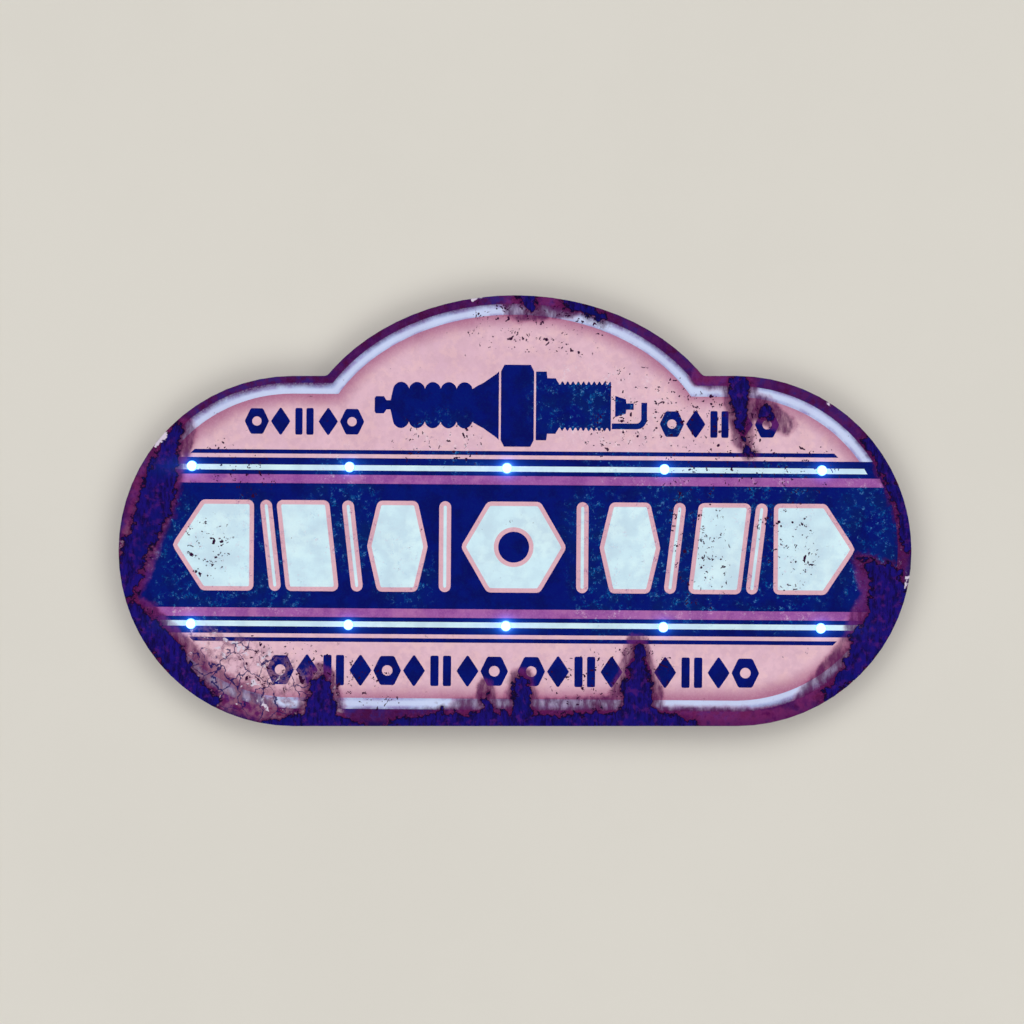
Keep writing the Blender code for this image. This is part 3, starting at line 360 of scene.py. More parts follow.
STAINS = (
    end_path(-1, (46, 8, 10), (24, 18, 15), (-8, 8, 13)),
    end_path(-1, (-22, 8, 9), (-62, 10, 12)),
    ((-255, -85, 10), (-180, -128, 8)),
    end_path(1, (-6, 36, 5), (-18, 14, 18), (-40, 10, 16), (-64, 6, 9)),
    foot_path((-40, 8, 10), (70, 6, 14)),
    foot_path((110, 4, 8), (210, 4, 7)),
    spike(-147, 36, 15, tip=9),
    spike(-22, 30, 7, tip=4),
    spike(5, 36, 12, tip=6),
    spike(92, 62, 17, tip=6),
    ((170, 127, 12), (172, 84, 5)),
    ((186, 108, 8), (204, 96, 5)),
    ((140, 132, 5), (168, 130, 9)),
    ((6, 188, 12), (40, 186, 7)),
)
CHIPPED = (
    end_path(-1, (38, 1, 2), (43, 1, 1)),
    ((-31, 191, 1), (-26, 192, 1)),
    end_path(1, (60, 1, 1), (57, 1, 1)),
    end_path(1, (-12, 1, 1), (-8, 1, 1)),
    ((252, -101, 1), (256, -98, 1)),
)
CRAZED = (
    ((-222, -84, 18), (-160, -118, 22)),
    ((-236, -70, 8), (-214, -104, 12)),
    end_path(-1, (20, 22, 6), (0, 14, 8)),
)
RUBBED = (
    ((-130, 60, 10), (-132, 20, 20)),
    ((-112, 4, 12), (-80, -20, 10)),
    ((40, 116, 18), (92, 98, 24), (78, 74, 12)),
    ((-262, 20, 14), (-240, -24, 22)),
    ((-200, 20, 10), (-180, -30, 14)),
    ((120, 30, 22), (130, -30, 20)),
    ((196, 40, 20), (200, -30, 22)),
    ((262, 30, 14), (268, -20, 14)),
    ((-60, 84, 10), (-40, 76, 10)),
    ((60, 20, 14), (70, -44, 12)),
)
SPECKED = (
    ((86, 124, 6), (172, 84, 12)),
    ((126, 62, 8), (230, 62, 5)),
    ((136, 28, 8), (142, -22, 10)),
    ((204, 22, 8), (210, -12, 8)),
    ((-196, -82, 6), (-100, -104, 5)),
    ((-20, 172, 6), (50, 166, 6)),
    ((-224, 66, 6), (-196, 56, 5)),
    ((40, -100, 5), (100, -86, 8)),
    ((-234, 14, 4), (-230, -6, 4)),
    ((-80, 84, 4), (-40, 80, 5)),
    ((70, 90, 8), (96, 100, 10)),
)


def path_distance(x, z, paths):
    """Distance to the nearest of some tapered paths: to its centre line, less its half width."""
    nearest = np.full(x.shape, 1e3)
    for path in paths:
        for (start_x, start_z, start_half), (end_x, end_z, end_half) in zip(path[:-1], path[1:]):
            along_x, along_z = end_x - start_x, end_z - start_z
            share = ((x - start_x) * along_x + (z - start_z) * along_z) / (along_x**2 + along_z**2)
            share = np.clip(share, 0, 1)
            away = np.hypot(x - start_x - share * along_x, z - start_z - share * along_z)
            nearest = np.minimum(nearest, away - start_half - share * (end_half - start_half))
    return nearest


def soft_mask(distance, width):
    """1 inside a path, falling smoothly to 0 over a width round it."""
    share = np.clip((width - distance) / width, 0, 1)
    return share * share * (3 - 2 * share)


def lamp_centre(row, number):
    """The middle of a lamp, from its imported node."""
    low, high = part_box(f"lamp_{row}_{number}")
    return np.array((low + high) / 2) / MM


ROWS = ("upper", "lower")
LAMPS = [(row, number, lamp_centre(row, number)) for row in ROWS for number in range(1, LAMP_COUNT + 1)]
MIDDLE_LAMP = 3
GLOW_STRENGTH, MIDDLE_GLOW_STRENGTH, STREAK_SHARE = 0.62, 1.15, 0.22
GLOW_RADIUS = math.sqrt(42)
STREAK_HALF_LENGTH, STREAK_HALF_HEIGHT = 24, 6


def lamp_glow(x, z):
    """Light round the lamps: a tight bell over each and a long low one along the row."""
    total = np.zeros(x.shape)
    for _row, number, centre in LAMPS:
        across, up = x - centre[0], z - centre[2]
        strength = MIDDLE_GLOW_STRENGTH if number == MIDDLE_LAMP else GLOW_STRENGTH
        bell = np.exp(-(across**2 + up**2) / GLOW_RADIUS**2)
        streak = np.exp(-((across / STREAK_HALF_LENGTH) ** 2) - (up / STREAK_HALF_HEIGHT) ** 2)
        total += strength * (bell + STREAK_SHARE * streak)
    return total


STAIN_SHRINK = 2
STAIN_EDGE, CRAZE_EDGE, RUB_EDGE, SPECK_EDGE = 11, 10, 20, 16
SPECK_EVERYWHERE = 0.06


def age_and_lamp_light(obj, points):
    """Writes a print piece's wear at its points, distances in millimetres and masks from 0 to 1, and also its
    painted lamp light and its inset.
    """
    x, z = points[:, 0], points[:, 2]
    flat_x, flat_z = (np.stack([x, z], -1) - PRINT_SHIFT).T
    attribute(obj, "tear", np.clip(path_distance(x, z, TEARS), -30, 60))
    attribute(obj, "stain", soft_mask(path_distance(x, z, STAINS) + STAIN_SHRINK, STAIN_EDGE))
    attribute(obj, "craze", soft_mask(path_distance(x, z, CRAZED), CRAZE_EDGE))
    attribute(obj, "rub", soft_mask(path_distance(x, z, RUBBED), RUB_EDGE))
    specked = soft_mask(path_distance(x, z, SPECKED), SPECK_EDGE)
    attribute(obj, "speck", SPECK_EVERYWHERE + (1 - SPECK_EVERYWHERE) * specked)
    attribute(obj, "chip", np.clip(path_distance(x, z, CHIPPED), -5, 20))
    # Painted light: the lamps' light on the print, kept here for the print's emission.
    attribute(obj, "glow", lamp_glow(x, z))
    attribute(obj, "inset", outline_inset(flat_x, flat_z))


def outline_inset(x, z):
    """How far inside the outline a point is: the larger of its depth in the dome and in the body."""
    beside = np.maximum(np.abs(x) - END_CENTRE, 0)
    body = END_RADIUS - np.hypot(beside, z)
    scale = np.sqrt((x / DOME_HALF_WIDTH) ** 2 + ((z - DOME_CENTRE) / DOME_HALF_HEIGHT) ** 2)
    slope = np.hypot(x / DOME_HALF_WIDTH**2, (z - DOME_CENTRE) / DOME_HALF_HEIGHT**2)
    dome = np.where(z > DOME_CENTRE, scale * (1 - scale) / np.maximum(slope, 1e-6), -50)
    return np.clip(np.maximum(body, dome), -5, 80)


# ---- Materials ----


class Recipe:
    """Writes nodes into one tree. Any input takes a socket or a plain value."""

    def __init__(self, tree):
        self.tree = tree

    def join(self, value, socket):
        """Feeds one socket from another, or sets its plain value."""
        if isinstance(value, bpy.types.NodeSocket):
            self.tree.links.new(value, socket)
        else:
            socket.default_value = value

    def node(self, kind, inputs=None, **settings):
        made = self.tree.nodes.new(kind)
        for setting, value in settings.items():
            setattr(made, setting, value)
        for key, value in (inputs or {}).items():
            self.join(value, made.inputs[key])
        return made

    def sum(self, first, second, operation="ADD", clamp=False):
        inputs = {0: first, 1: second}
        return self.node("ShaderNodeMath", inputs, operation=operation, use_clamp=clamp).outputs[0]

    def times(self, first, second):
        return self.sum(first, second, "MULTIPLY")

    def away(self, value, middle):
        """How far a value is from a middle one."""
        return self.sum(self.sum(value, middle, "SUBTRACT"), 0.0, "ABSOLUTE")

    def swing(self, noise, most):
        """A noise carried evenly to both sides of zero."""
        return self.times(self.sum(noise, 0.5, "SUBTRACT"), most)

    def blend(self, share, first, second, how="MIX"):
        inputs = {0: share, 6: first, 7: second}
        return self.node("ShaderNodeMix", inputs, data_type="RGBA", blend_type=how).outputs[2]

    def ease(self, value, low, high, out_low=0.0, out_high=1.0):
        """A smooth step from one level of a value to another."""
        inputs = {0: value, 1: low, 2: high, 3: out_low, 4: out_high}
        return self.node("ShaderNodeMapRange", inputs, interpolation_type="SMOOTHSTEP").outputs[0]

    def noise(self, place, scale, detail=4.0, rough=0.6):
        inputs = {"Vector": place, "Scale": scale, "Detail": detail, "Roughness": rough}
        return self.node("ShaderNodeTexNoise", inputs).outputs["Fac"]

    def cells(self, place, scale, feature="F1"):
        inputs = {"Vector": place, "Scale": scale}
        return self.node("ShaderNodeTexVoronoi", inputs, feature=feature).outputs["Distance"]

    def cracks(self, place, scale, wide, narrow):
        """Lines between cells."""
        return self.ease(self.cells(place, scale, "DISTANCE_TO_EDGE"), wide, narrow)

    def stretched(self, place, scale):
        return self.node("ShaderNodeMapping", {"Vector": place, "Scale": scale}).outputs[0]

    def place(self, stretch=(1.0, 1.0, 1.0)):
        return self.stretched(self.node("ShaderNodeTexCoord").outputs["Object"], stretch)

    def along(self, axis, kind="Object"):
        """A place's measure on one axis."""
        coordinates = self.node("ShaderNodeTexCoord").outputs[kind]
        return self.node("ShaderNodeSeparateXYZ", {0: coordinates}).outputs[axis]

    def kept(self, name):
        """A value kept at the mesh's points."""
        return self.node("ShaderNodeAttribute", attribute_name=name).outputs["Fac"]


def new_group(name, colors, values):
    """An empty shared effect: a place, colours and values come in, and a colour, a roughness and a height go
    out. It gives its recipe, its incoming sockets and its end."""
    tree = bpy.data.node_groups.new(name, "ShaderNodeTree")
    sockets = [("INPUT", "Vector", "Place")]
    sockets += [("INPUT", "Color", label) for label in colors]
    sockets += [("INPUT", "Float", label) for label in values]
    sockets += [("OUTPUT", "Color", "Color"), ("OUTPUT", "Float", "Roughness"), ("OUTPUT", "Float", "Height")]
    for way, kind, label in sockets:
        tree.interface.new_socket(name=label, in_out=way, socket_type=f"NodeSocket{kind}")
    recipe = Recipe(tree)
    return recipe, recipe.node("NodeGroupInput").outputs, recipe.node("NodeGroupOutput").inputs


def finish_group(made, end, color, roughness, height):
    """Joins an effect's results to its end, and gives its tree."""
    made.join(color, end["Color"])
    made.join(roughness, end["Roughness"])
    made.join(height, end["Height"])
    return made.tree


WEAR = ("Tear", "Stain", "Craze", "Rub", "Speck", "Chip")
# The sizes of the print's noises, as features to a metre.
BROAD, RAGGED, FINE, FLECK, STREAK, FIBRE = 38, 165, 900, 620, 210, 300
PLATE, HAIRLINE, LOST_FLAKE, SMALL_SPECK, LARGE_SPECK, DRIFT = 62, 210, 120, 340, 120, 55.0
DRIFT_REACH = (0.03, 0.03, 0.03)
# How far the ragged and broad noises move a torn edge, in millimetres.
RAGGED_REACH, BROAD_REACH = 20, 12
MOTTLE = (0.5, 0.34, 0.46, 1)


def aged_print_effect():
    """Ink on sheet steel grown old: torn patches, wine stains, fine crazing, rubbed flecks and specks."""
    made, come, end = new_group("Aged print", ("Ink", "Rubbed ink", "Pale ink"), (*WEAR, "Fade"))
    place = come["Place"]
    broad, ragged = made.noise(place, BROAD, 5, 0.6), made.noise(place, RAGGED, 5, 0.62)
    fine = made.noise(place, FINE, 5, 0.7)
    uneven = made.sum(made.swing(ragged, RAGGED_REACH), made.swing(broad, BROAD_REACH))
    tear = made.sum(come["Tear"], uneven)
    torn = made.ease(tear, 0.35, -0.35)

    # The ink: mottled, faded, and with two kinds of fleck where it is rubbed.
    mottled = made.blend(made.ease(broad, 0.35, 0.7, 0, 0.16), come["Ink"], MOTTLE, "MULTIPLY")
    faded = made.blend(made.times(made.ease(fine, 0.42, 0.75), come["Fade"]), mottled, come["Rubbed ink"])
    tint = made.times(made.times(made.ease(broad, 0.38, 0.6), come["Rub"]), 0.06)
    tinted = made.blend(tint, faded, come["Rubbed ink"])
    flecks = made.times(made.ease(ragged, 0.5, 0.64), made.ease(fine, 0.45, 0.62, 0, 0.8))
    rubbed = made.blend(made.times(flecks, come["Rub"]), tinted, come["Rubbed ink"])
    pale = made.ease(made.noise(place, FLECK, 4, 0.7), 0.56, 0.64)
    pale = made.times(pale, made.ease(ragged, 0.5, 0.6, 0, 0.7))
    rubbed = made.blend(made.times(pale, come["Rub"]), rubbed, come["Pale ink"])

    # Wine stains, in streaks that run down.
    soaked = made.ease(made.sum(made.times(come["Stain"], 1.2), made.times(uneven, 0.05)), 0.3, 1.05)
    upright = made.stretched(place, (1, 1, 0.3))
    soaked = made.times(soaked, made.ease(made.noise(upright, STREAK, 5, 0.65), 0.32, 0.62, 0.6, 1.0))
    wine = made.blend(made.ease(soaked, 0.3, 0.85), WINE_EDGE, WINE_HEART)
    stained = made.blend(made.times(soaked, 0.92), rubbed, wine)

    # Crazing: soot, lost flakes, and cracks between cells that a drift bends.
    drift = made.node("ShaderNodeTexNoise", {"Vector": place, "Scale": DRIFT, "Detail": 4.0}).outputs["Color"]
    bent = {0: drift, 1: DRIFT_REACH, 2: place}
    warped = made.node("ShaderNodeVectorMath", bent, operation="MULTIPLY_ADD").outputs[0]
    lines = made.times(made.cracks(warped, PLATE, 0.04, 0.012), made.ease(broad, 0.4, 0.5))
    hairlines = made.times(made.cracks(warped, HAIRLINE, 0.07, 0.02), made.ease(ragged, 0.5, 0.6))
    sooty = made.blend(made.times(come["Craze"], made.ease(ragged, 0.42, 0.62, 0, 0.65)), stained, TAN)
    lost = made.times(come["Craze"], made.ease(made.noise(warped, LOST_FLAKE, 3), 0.6, 0.66))
    crack = made.times(come["Craze"], made.sum(lines, made.times(hairlines, 0.45), clamp=True))
    crazed = made.blend(made.times(crack, 0.92), made.blend(lost, sooty, FLAKE), DEEP_NAVY)

    # Dark specks, small and large.
    small = made.times(made.ease(made.cells(warped, SMALL_SPECK), 0.37, 0.31), made.ease(ragged, 0.53, 0.58))
    large = made.times(made.ease(made.cells(warped, LARGE_SPECK), 0.2, 0.15), made.ease(broad, 0.48, 0.55))
    crowded = made.ease(made.sum(come["Speck"], ragged), 0.62, 0.95)
    specks = made.times(made.sum(small, large, clamp=True), crowded)
    specked = made.blend(made.ease(specks, 0.1, 0.6), crazed, BLOT)

    # A maroon rim and a dark line round each torn patch, the fibrous bare sheet in it, pale chips over all.
    rim = made.times(made.ease(tear, 6.0, 0.6), made.ease(ragged, 0.3, 0.55, 0.35, 1.0))
    rim_color = made.blend(made.ease(fine, 0.5, 0.7), MAROON, ink(110, 38, 92))
    edged = made.blend(made.times(rim, 0.85), specked, rim_color)
    fibres = made.noise(made.stretched(place, (1.5, 1, 0.45)), FIBRE, 6, 0.72)
    bare = made.blend(made.ease(fibres, 0.36, 0.6), ink(14, 4, 58), ink(26, 14, 112))
    bare = made.blend(made.times(made.ease(ragged, 0.5, 0.66), 0.75), bare, ink(70, 22, 104))
    bare = made.blend(made.times(made.ease(broad, 0.5, 0.62), 0.6), bare, ink(2, 14, 100))
    line = made.times(made.ease(tear, 1.3, 0.5), made.ease(tear, -0.9, -0.2))
    color = made.blend(line, made.blend(torn, edged, bare), ink(16, 2, 40))
    chip = made.ease(made.sum(come["Chip"], made.times(uneven, 0.55)), 0.3, -0.3)
    color = made.blend(chip, color, FLAKE)

    roughness = made.sum(made.ease(fine, 0.3, 0.7, 0.42, 0.6), made.times(torn, 0.2))
    height = made.sum(made.times(fine, 0.25), made.times(made.sum(torn, crack), 0.6), "SUBTRACT")
    return finish_group(made, end, color, roughness, height)


GRAIN = 1600
GRAIN_SHADE = (0.3, 0.3, 0.32, 1)


def weathered_effect():
    """A plain finish with life in it: patches of a second colour, fine grain, and gloss that varies."""
    made, come, end = new_group("Weathered finish", ("Base", "Patch"), ("Cover", "Size", "Dull", "Bright"))
    patchy = made.noise(come["Place"], come["Size"], 6, 0.65)
    grain = made.noise(come["Place"], GRAIN, 3, 0.6)
    covered = made.times(made.ease(patchy, 0.4, 0.66), come["Cover"])
    color = made.blend(covered, come["Base"], come["Patch"])
    color = made.blend(made.ease(grain, 0.35, 0.7, 0, 0.16), color, GRAIN_SHADE, "MULTIPLY")
    spread = made.sum(come["Dull"], come["Bright"], "SUBTRACT")
    gloss = made.sum(made.times(made.ease(patchy, 0.3, 0.7), spread), come["Bright"])
    return finish_group(made, end, color, gloss, made.sum(grain, made.times(covered, -0.5)))


AGED_PRINT = aged_print_effect()
WEATHERED = weathered_effect()


def new_material(name, specular=0.5, metallic=0.0, **plain):
    """A material, its recipe and its shader, with the values that are the same all over set on the shader."""
    material = bpy.data.materials.new(name)
    material.use_nodes = True
    shader = material.node_tree.nodes["Principled BSDF"]
    shader.inputs["Specular IOR Level"].default_value = specular
    shader.inputs["Metallic"].default_value = metallic
    for label, value in plain.items():
        shader.inputs[label.replace("_", " ")].default_value = value
    return material, Recipe(material.node_tree), shader


def feed(recipe, shader, effect, depth, color=None):
    """Joins an effect to its shader: its colour or another one, its gloss, and its height as bump."""
    if color is None:
        color = effect["Color"]
    recipe.join(color, shader.inputs["Base Color"])
    recipe.join(effect["Roughness"], shader.inputs["Roughness"])
    relief = {"Height": effect["Height"], "Strength": 0.5, "Distance": depth * MM}
    bump = recipe.node("ShaderNodeBump", relief)
    recipe.join(bump.outputs[0], shader.inputs["Normal"])


CLOUD_SIZES = (26, 75, 190)
CORE_WIDE, CORE_NARROW = 3.4, 0.8
PRINT_RELIEF = 0.25
UNLIT = (0, 0, 0, 1)
GLOW_EDGE = (0.02, 0.16, 0.9, 1)
GLOW_HEART = (0.25, 0.6, 1.0, 1)


def printed(name, color, rubbed=TEAL, pale=FLAKE, fade=0.12, shade=None, clouds=(), core=None, soak=1.0):
    """One ink of the print. shade is a colour that it turns towards, and the insets where that starts and is
    full. clouds are inks that drift through it, each finer than the last. core is a colour and the inset of
    its line. soak is how much of a stain it takes."""
    material, recipe, shader = new_material(name, specular=0.04, Emission_Strength=1.0)
    place = recipe.place()
    for size, cloud in zip(CLOUD_SIZES, clouds):
        drifting = recipe.ease(recipe.noise(place, size, 5, 0.65), 0.44, 0.6, 0, 0.9)
        color = recipe.blend(drifting, color, cloud)
    if core:
        away = recipe.away(recipe.kept("inset"), core[1])
        color = recipe.blend(recipe.ease(away, CORE_WIDE, CORE_NARROW), color, core[0])
    if shade:
        towards, start, full = shade
        inset = recipe.sum(recipe.kept("inset"), recipe.swing(recipe.noise(place, 60, 4), 5))
        color = recipe.blend(recipe.ease(inset, start, full), color, towards)
    inputs = {"Place": place, "Ink": color, "Rubbed ink": rubbed, "Pale ink": pale, "Fade": fade}
    inputs |= {label: recipe.kept(label.lower()) for label in WEAR}
    inputs["Stain"] = recipe.times(inputs["Stain"], soak)
    aged = recipe.node("ShaderNodeGroup", inputs, node_tree=AGED_PRINT)
    feed(recipe, shader, aged.outputs, PRINT_RELIEF)
    # Painted light: the lamps' light on the print, given as emission from the kept glow.
    glow = recipe.kept("glow")
    lit = recipe.blend(recipe.ease(glow, 0.5, 1.6), GLOW_EDGE, GLOW_HEART)
    lit = recipe.blend(recipe.sum(glow, 0.9, "MULTIPLY", clamp=True), UNLIT, lit)
    recipe.join(lit, shader.inputs["Emission Color"])
    return material


def weathered(name, base, patch, cover, size, gloss, metallic=0.0, specular=0.5):
    """A weathered finish, not yet joined. gloss is its roughness in the patches and between them."""
    material, recipe, shader = new_material(name, specular, metallic)
    inputs = {"Place": recipe.place(), "Base": base, "Patch": patch, "Cover": cover, "Size": size,
              "Dull": gloss[0], "Bright": gloss[1]}
    finish = recipe.node("ShaderNodeGroup", inputs, node_tree=WEATHERED)
    return material, recipe, shader, finish.outputs


def weathered_material(*values, depth=0.05, **named):
    """The same, joined to its shader as it is."""
    material, recipe, shader, finish = weathered(*values, **named)
    feed(recipe, shader, finish, depth)
    return material


# ---- The print ----

NAVY_PRINT = printed(
    "Navy ink", NAVY, pale=ink(84, 140, 196), fade=0.06, clouds=(ink(0, 16, 108), ink(2, 8, 92)), soak=0.6
)
BORDER_PRINT = printed(
    "Plum border ink", PLUM, rubbed=ink(112, 64, 132), fade=0.1, shade=(ink(30, 8, 78), 3.5, -1.0),
    clouds=(INDIGO, MAROON, ink(76, 22, 86)), soak=0.55
)
BAND_PRINT = printed(
    "Periwinkle band ink", PERIWINKLE, rubbed=ink(206, 218, 240), fade=0.3,
    shade=(ink(78, 20, 92), BORDER + 3.2, BORDER - 1.5), clouds=(ink(186, 196, 230), ink(150, 140, 196)),
    core=(ink(198, 208, 240), BORDER + 5.2)
)
PINK_PRINT = printed(
    "Pink panel ink", PINK, rubbed=ink(232, 206, 216), fade=0.14, shade=(PINK_SHADE, BAND + 14, BAND - 2),
    clouds=(ink(218, 178, 196), ink(228, 188, 196), ink(216, 176, 192))
)
ORCHID_PRINT = printed(
    "Orchid ink", ORCHID_INK, rubbed=ink(200, 146, 194), fade=0.25,
    clouds=(ink(170, 104, 164), ink(140, 72, 150))
)
OUTLINE_PRINT = printed("Outline ink", OUTLINE_PINK, rubbed=ink(150, 90, 140), fade=0.2)
WHITE_PRINT = printed(
    "White ink", WHITE, rubbed=ink(176, 208, 228), fade=0.1, clouds=(ink(214, 240, 246), ink(200, 228, 240))
)


def print_piece(name, grids, layer, material, closed=False):
    """A piece of print from grids in print coordinates, turned onto the blank, aged, and given the lamps'
    painted light.
    """
    patches = [slab(on_print(grid), layer, closed) for grid in grids]
    age_and_lamp_light(*piece(name, patches, material))


def field_grid(low, high, inset):
    """Level rows between two heights, each as long as the inset outline is there."""
    levels = np.linspace(low, high, max(3, round((high - low) / GRID_STEP) + 1))
    share = np.linspace(-1, 1, round(2 * FACE_HIGH[0] / GRID_STEP) + 1)
    x = edge_x(levels, inset)[:, None] * share
    return np.stack([x, np.broadcast_to(levels[:, None], x.shape)], -1)


def panel_grid(side):
    """Upright columns from the field's edge to the inset outline above, or below where side is -1."""
    x = (edge_x(FIELD_HALF, BAND) - FIELD_LAP) * np.linspace(-1, 1, PANEL_COLUMNS)
    if side > 0:
        far, rows = top_z(x, BAND), UPPER_PANEL_ROWS
    else:
        beside = np.maximum(np.abs(x) - END_CENTRE, 0)
        far, rows = np.sqrt((END_RADIUS - BAND) ** 2 - beside**2), LOWER_PANEL_ROWS
    share = np.linspace(0, 1, rows)[:, None]
    z = FIELD_HALF * (1 - share) + np.maximum(far, FIELD_HALF + 0.1) * share
    return np.stack([np.broadcast_to(x, z.shape), side * z], -1)


def band_grid(path):
    """The band between the border and the panel, running a little under the border."""
    insets = np.linspace(BORDER - BAND_LAP, BAND, 6)
    return np.stack([path(inset, FIELD_HALF) for inset in insets])


def stripe_grid(low, high, half_low, half_high, side):
    """A level stripe between two heights, with its own half length at each."""
    share = np.linspace(0, 1, 4)[:, None]
    x = (half_low * (1 - share) + half_high * share) * np.linspace(-1, 1, 260)
    z = side * np.broadcast_to(low * (1 - share) + high * share, x.shape)
    return np.stack([x, z], -1)


def build_ground():
    """The field, border, bands, panels, stripes and lines."""
    edge = FIELD_HALF + FIELD_LAP
    print_piece("print_field", [field_grid(-edge, edge, BORDER - BAND_LAP)], 0, NAVY_PRINT)
    halves = ((1, "upper", upper_path), (-1, "lower", lower_path))
    for side, half, path in halves:
        print_piece(f"print_panel_{half}", [panel_grid(side)], 1, PINK_PRINT)
        print_piece(f"print_light_band_{half}", [band_grid(path)], 1, BAND_PRINT)
    for side, half, _path in halves:
        ends = [edge_x(level, BORDER + ORCHID_GAP) for level in ORCHID]
        print_piece(f"print_orchid_stripe_{half}", [stripe_grid(*ORCHID, *ends, side)], 1, ORCHID_PRINT)
        ends = [edge_x(level, BAND) for level in WHITE_LINE]
        print_piece(f"print_white_line_{half}", [stripe_grid(*WHITE_LINE, *ends, side)], 1, WHITE_PRINT)
        ends = [FINE_LINE_HALF_LENGTH + FINE_LINE_SLANT, FINE_LINE_HALF_LENGTH]
        print_piece(f"print_fine_line_{half}", [stripe_grid(*FINE_LINE, *ends, side)], 2, NAVY_PRINT)
    border = between(outline(EDGE_MARGIN), on_print(outline(BORDER)), 7)
    age_and_lamp_light(*piece("print_border", [slab(border, 3, closed=True)], BORDER_PRINT))


def bar(x, z, half_height, width, lean=0):
    """Corners of an upright bar, its top moved sideways from its foot by a lean."""
    foot, top = x - lean / 2, x + lean / 2
    low, high, half = z - half_height, z + half_height, width / 2
    return [(foot - half, low), (foot + half, low), (top + half, high), (top - half, high)]


def long_hexagon(centre, width, point):
    """Corners of an upright block with its long sides brought to a low point."""
    tall, half = ORNAMENT_HALF_HEIGHT, width / 2
    return [(centre - half + point, -tall), (centre + half - point, -tall), (centre + half, 0),
            (centre + half - point, tall), (centre - half + point, tall), (centre - half, 0)]


def large_ornaments():
    """The convex ornaments of the right-hand half: bars, a block and an arrow, from the middle outwards."""
    tall = ORNAMENT_HALF_HEIGHT
    back, shoulder, tip = ARROW
    arrow = [(back, -tall), (shoulder, -tall), (tip, 0), (shoulder, tall), (back, tall)]
    thin = [bar(x, 0, tall, THIN_BAR_WIDTH, lean) for x, lean in THIN_BARS]
    wide = bar(WIDE_BAR, 0, tall, WIDE_BAR_WIDTH, LEAN)
    return [thin[0], long_hexagon(BLOCK, BLOCK_WIDTH, BLOCK_POINT), thin[1], wide, thin[2], arrow]


def hexagon(half_width, half_height):
    """Corners of a hexagon lying on two of its sides."""
    return [(-half_width / 2, -half_height), (half_width / 2, -half_height), (half_width, 0),
            (half_width / 2, half_height), (-half_width / 2, half_height), (-half_width, 0)]


def build_large_ornaments():
    """White bars, blocks and arrows with a pink outline, in mirror pairs beside a nut."""
    coats = (("outline", 0, 1, OUTLINE_PRINT), ("white", ORNAMENT_OUTLINE, 2, WHITE_PRINT))
    for kind, inset, layer, material in coats:
        radius = ORNAMENT_CORNER - inset
        for side, half in ((1, "right"), (-1, "left")):
            grids = [plate_rows(rounded(corners, inset, radius)) * [side, 1] for corners in large_ornaments()]
            print_piece(f"print_ornaments_{half}_{kind}", grids, layer, material)
        ring = rounded(hexagon(NUT_HALF_WIDTH, ORNAMENT_HALF_HEIGHT), inset, radius)
        hole = NUT_HOLE - ORNAMENT_OUTLINE + inset
        print_piece(f"print_nut_{kind}", [nut_rows(ring, hole, np.zeros(2))], layer, material, closed=True)


# The plug lies along x: places and half heights down its length, in millimetres from its middle.
PLUG_LEVEL = 107.0
PLUG_TERMINAL = ((-106, 5), (-105, 6.5), (-99, 6.5), (-98, 5), (-97, 3.5), (-94, 3.5))
PLUG_SHOULDER = ((-28, 15), (-24, 17), (-14, 24), (-12, 26))
PLUG_NUT = ((-10.5, 26), (-8, 31), (12, 31), (14.5, 26))
PLUG_COLLAR = ((16, 26), (24, 26), (24.6, 21), (31, 21))
PLUG_NOSE = ((76, 8), (84, 5.5), (84.5, 2.4), (90, 2.4))
PLUG_RIBS, RIB_PITCH, RIB_ROOT, RIB_DEPTH, RIB_ROUNDNESS = (-92, -31.9), 12, 12.5, 5, 0.6
PLUG_THREAD, THREAD_PITCH, THREAD_HALF, THREAD_DEPTH = (32, 73), 4, 17.5, 1.4
# Its side wire runs under the nose and bends up in front of it.
SIDE_WIRE_START, SIDE_WIRE_BEND_X, SIDE_WIRE_BEND, SIDE_WIRE_HALF = 73.5, 92, 6, 2.2
SIDE_WIRE_RUN_Z, SIDE_WIRE_END_Z = -15, 3


def plug_outline():
    """Half height along the plug: listed shoulders, with ribs and a thread as waves between them."""
    ribs_x = np.arange(*PLUG_RIBS, 0.75)
    swell = np.abs(np.sin((ribs_x - PLUG_RIBS[0]) * np.pi / RIB_PITCH)) ** RIB_ROUNDNESS
    ribs = np.stack([ribs_x, RIB_ROOT + RIB_DEPTH * swell], -1)
    thread_x = np.arange(*PLUG_THREAD, 0.8)
    wave = np.cos(thread_x * 2 * np.pi / THREAD_PITCH)
    thread = np.stack([thread_x, THREAD_HALF + THREAD_DEPTH * wave], -1)
    return [[*PLUG_TERMINAL, *ribs, *PLUG_SHOULDER], [*PLUG_NUT], [*PLUG_COLLAR, *thread], [*PLUG_NOSE]]


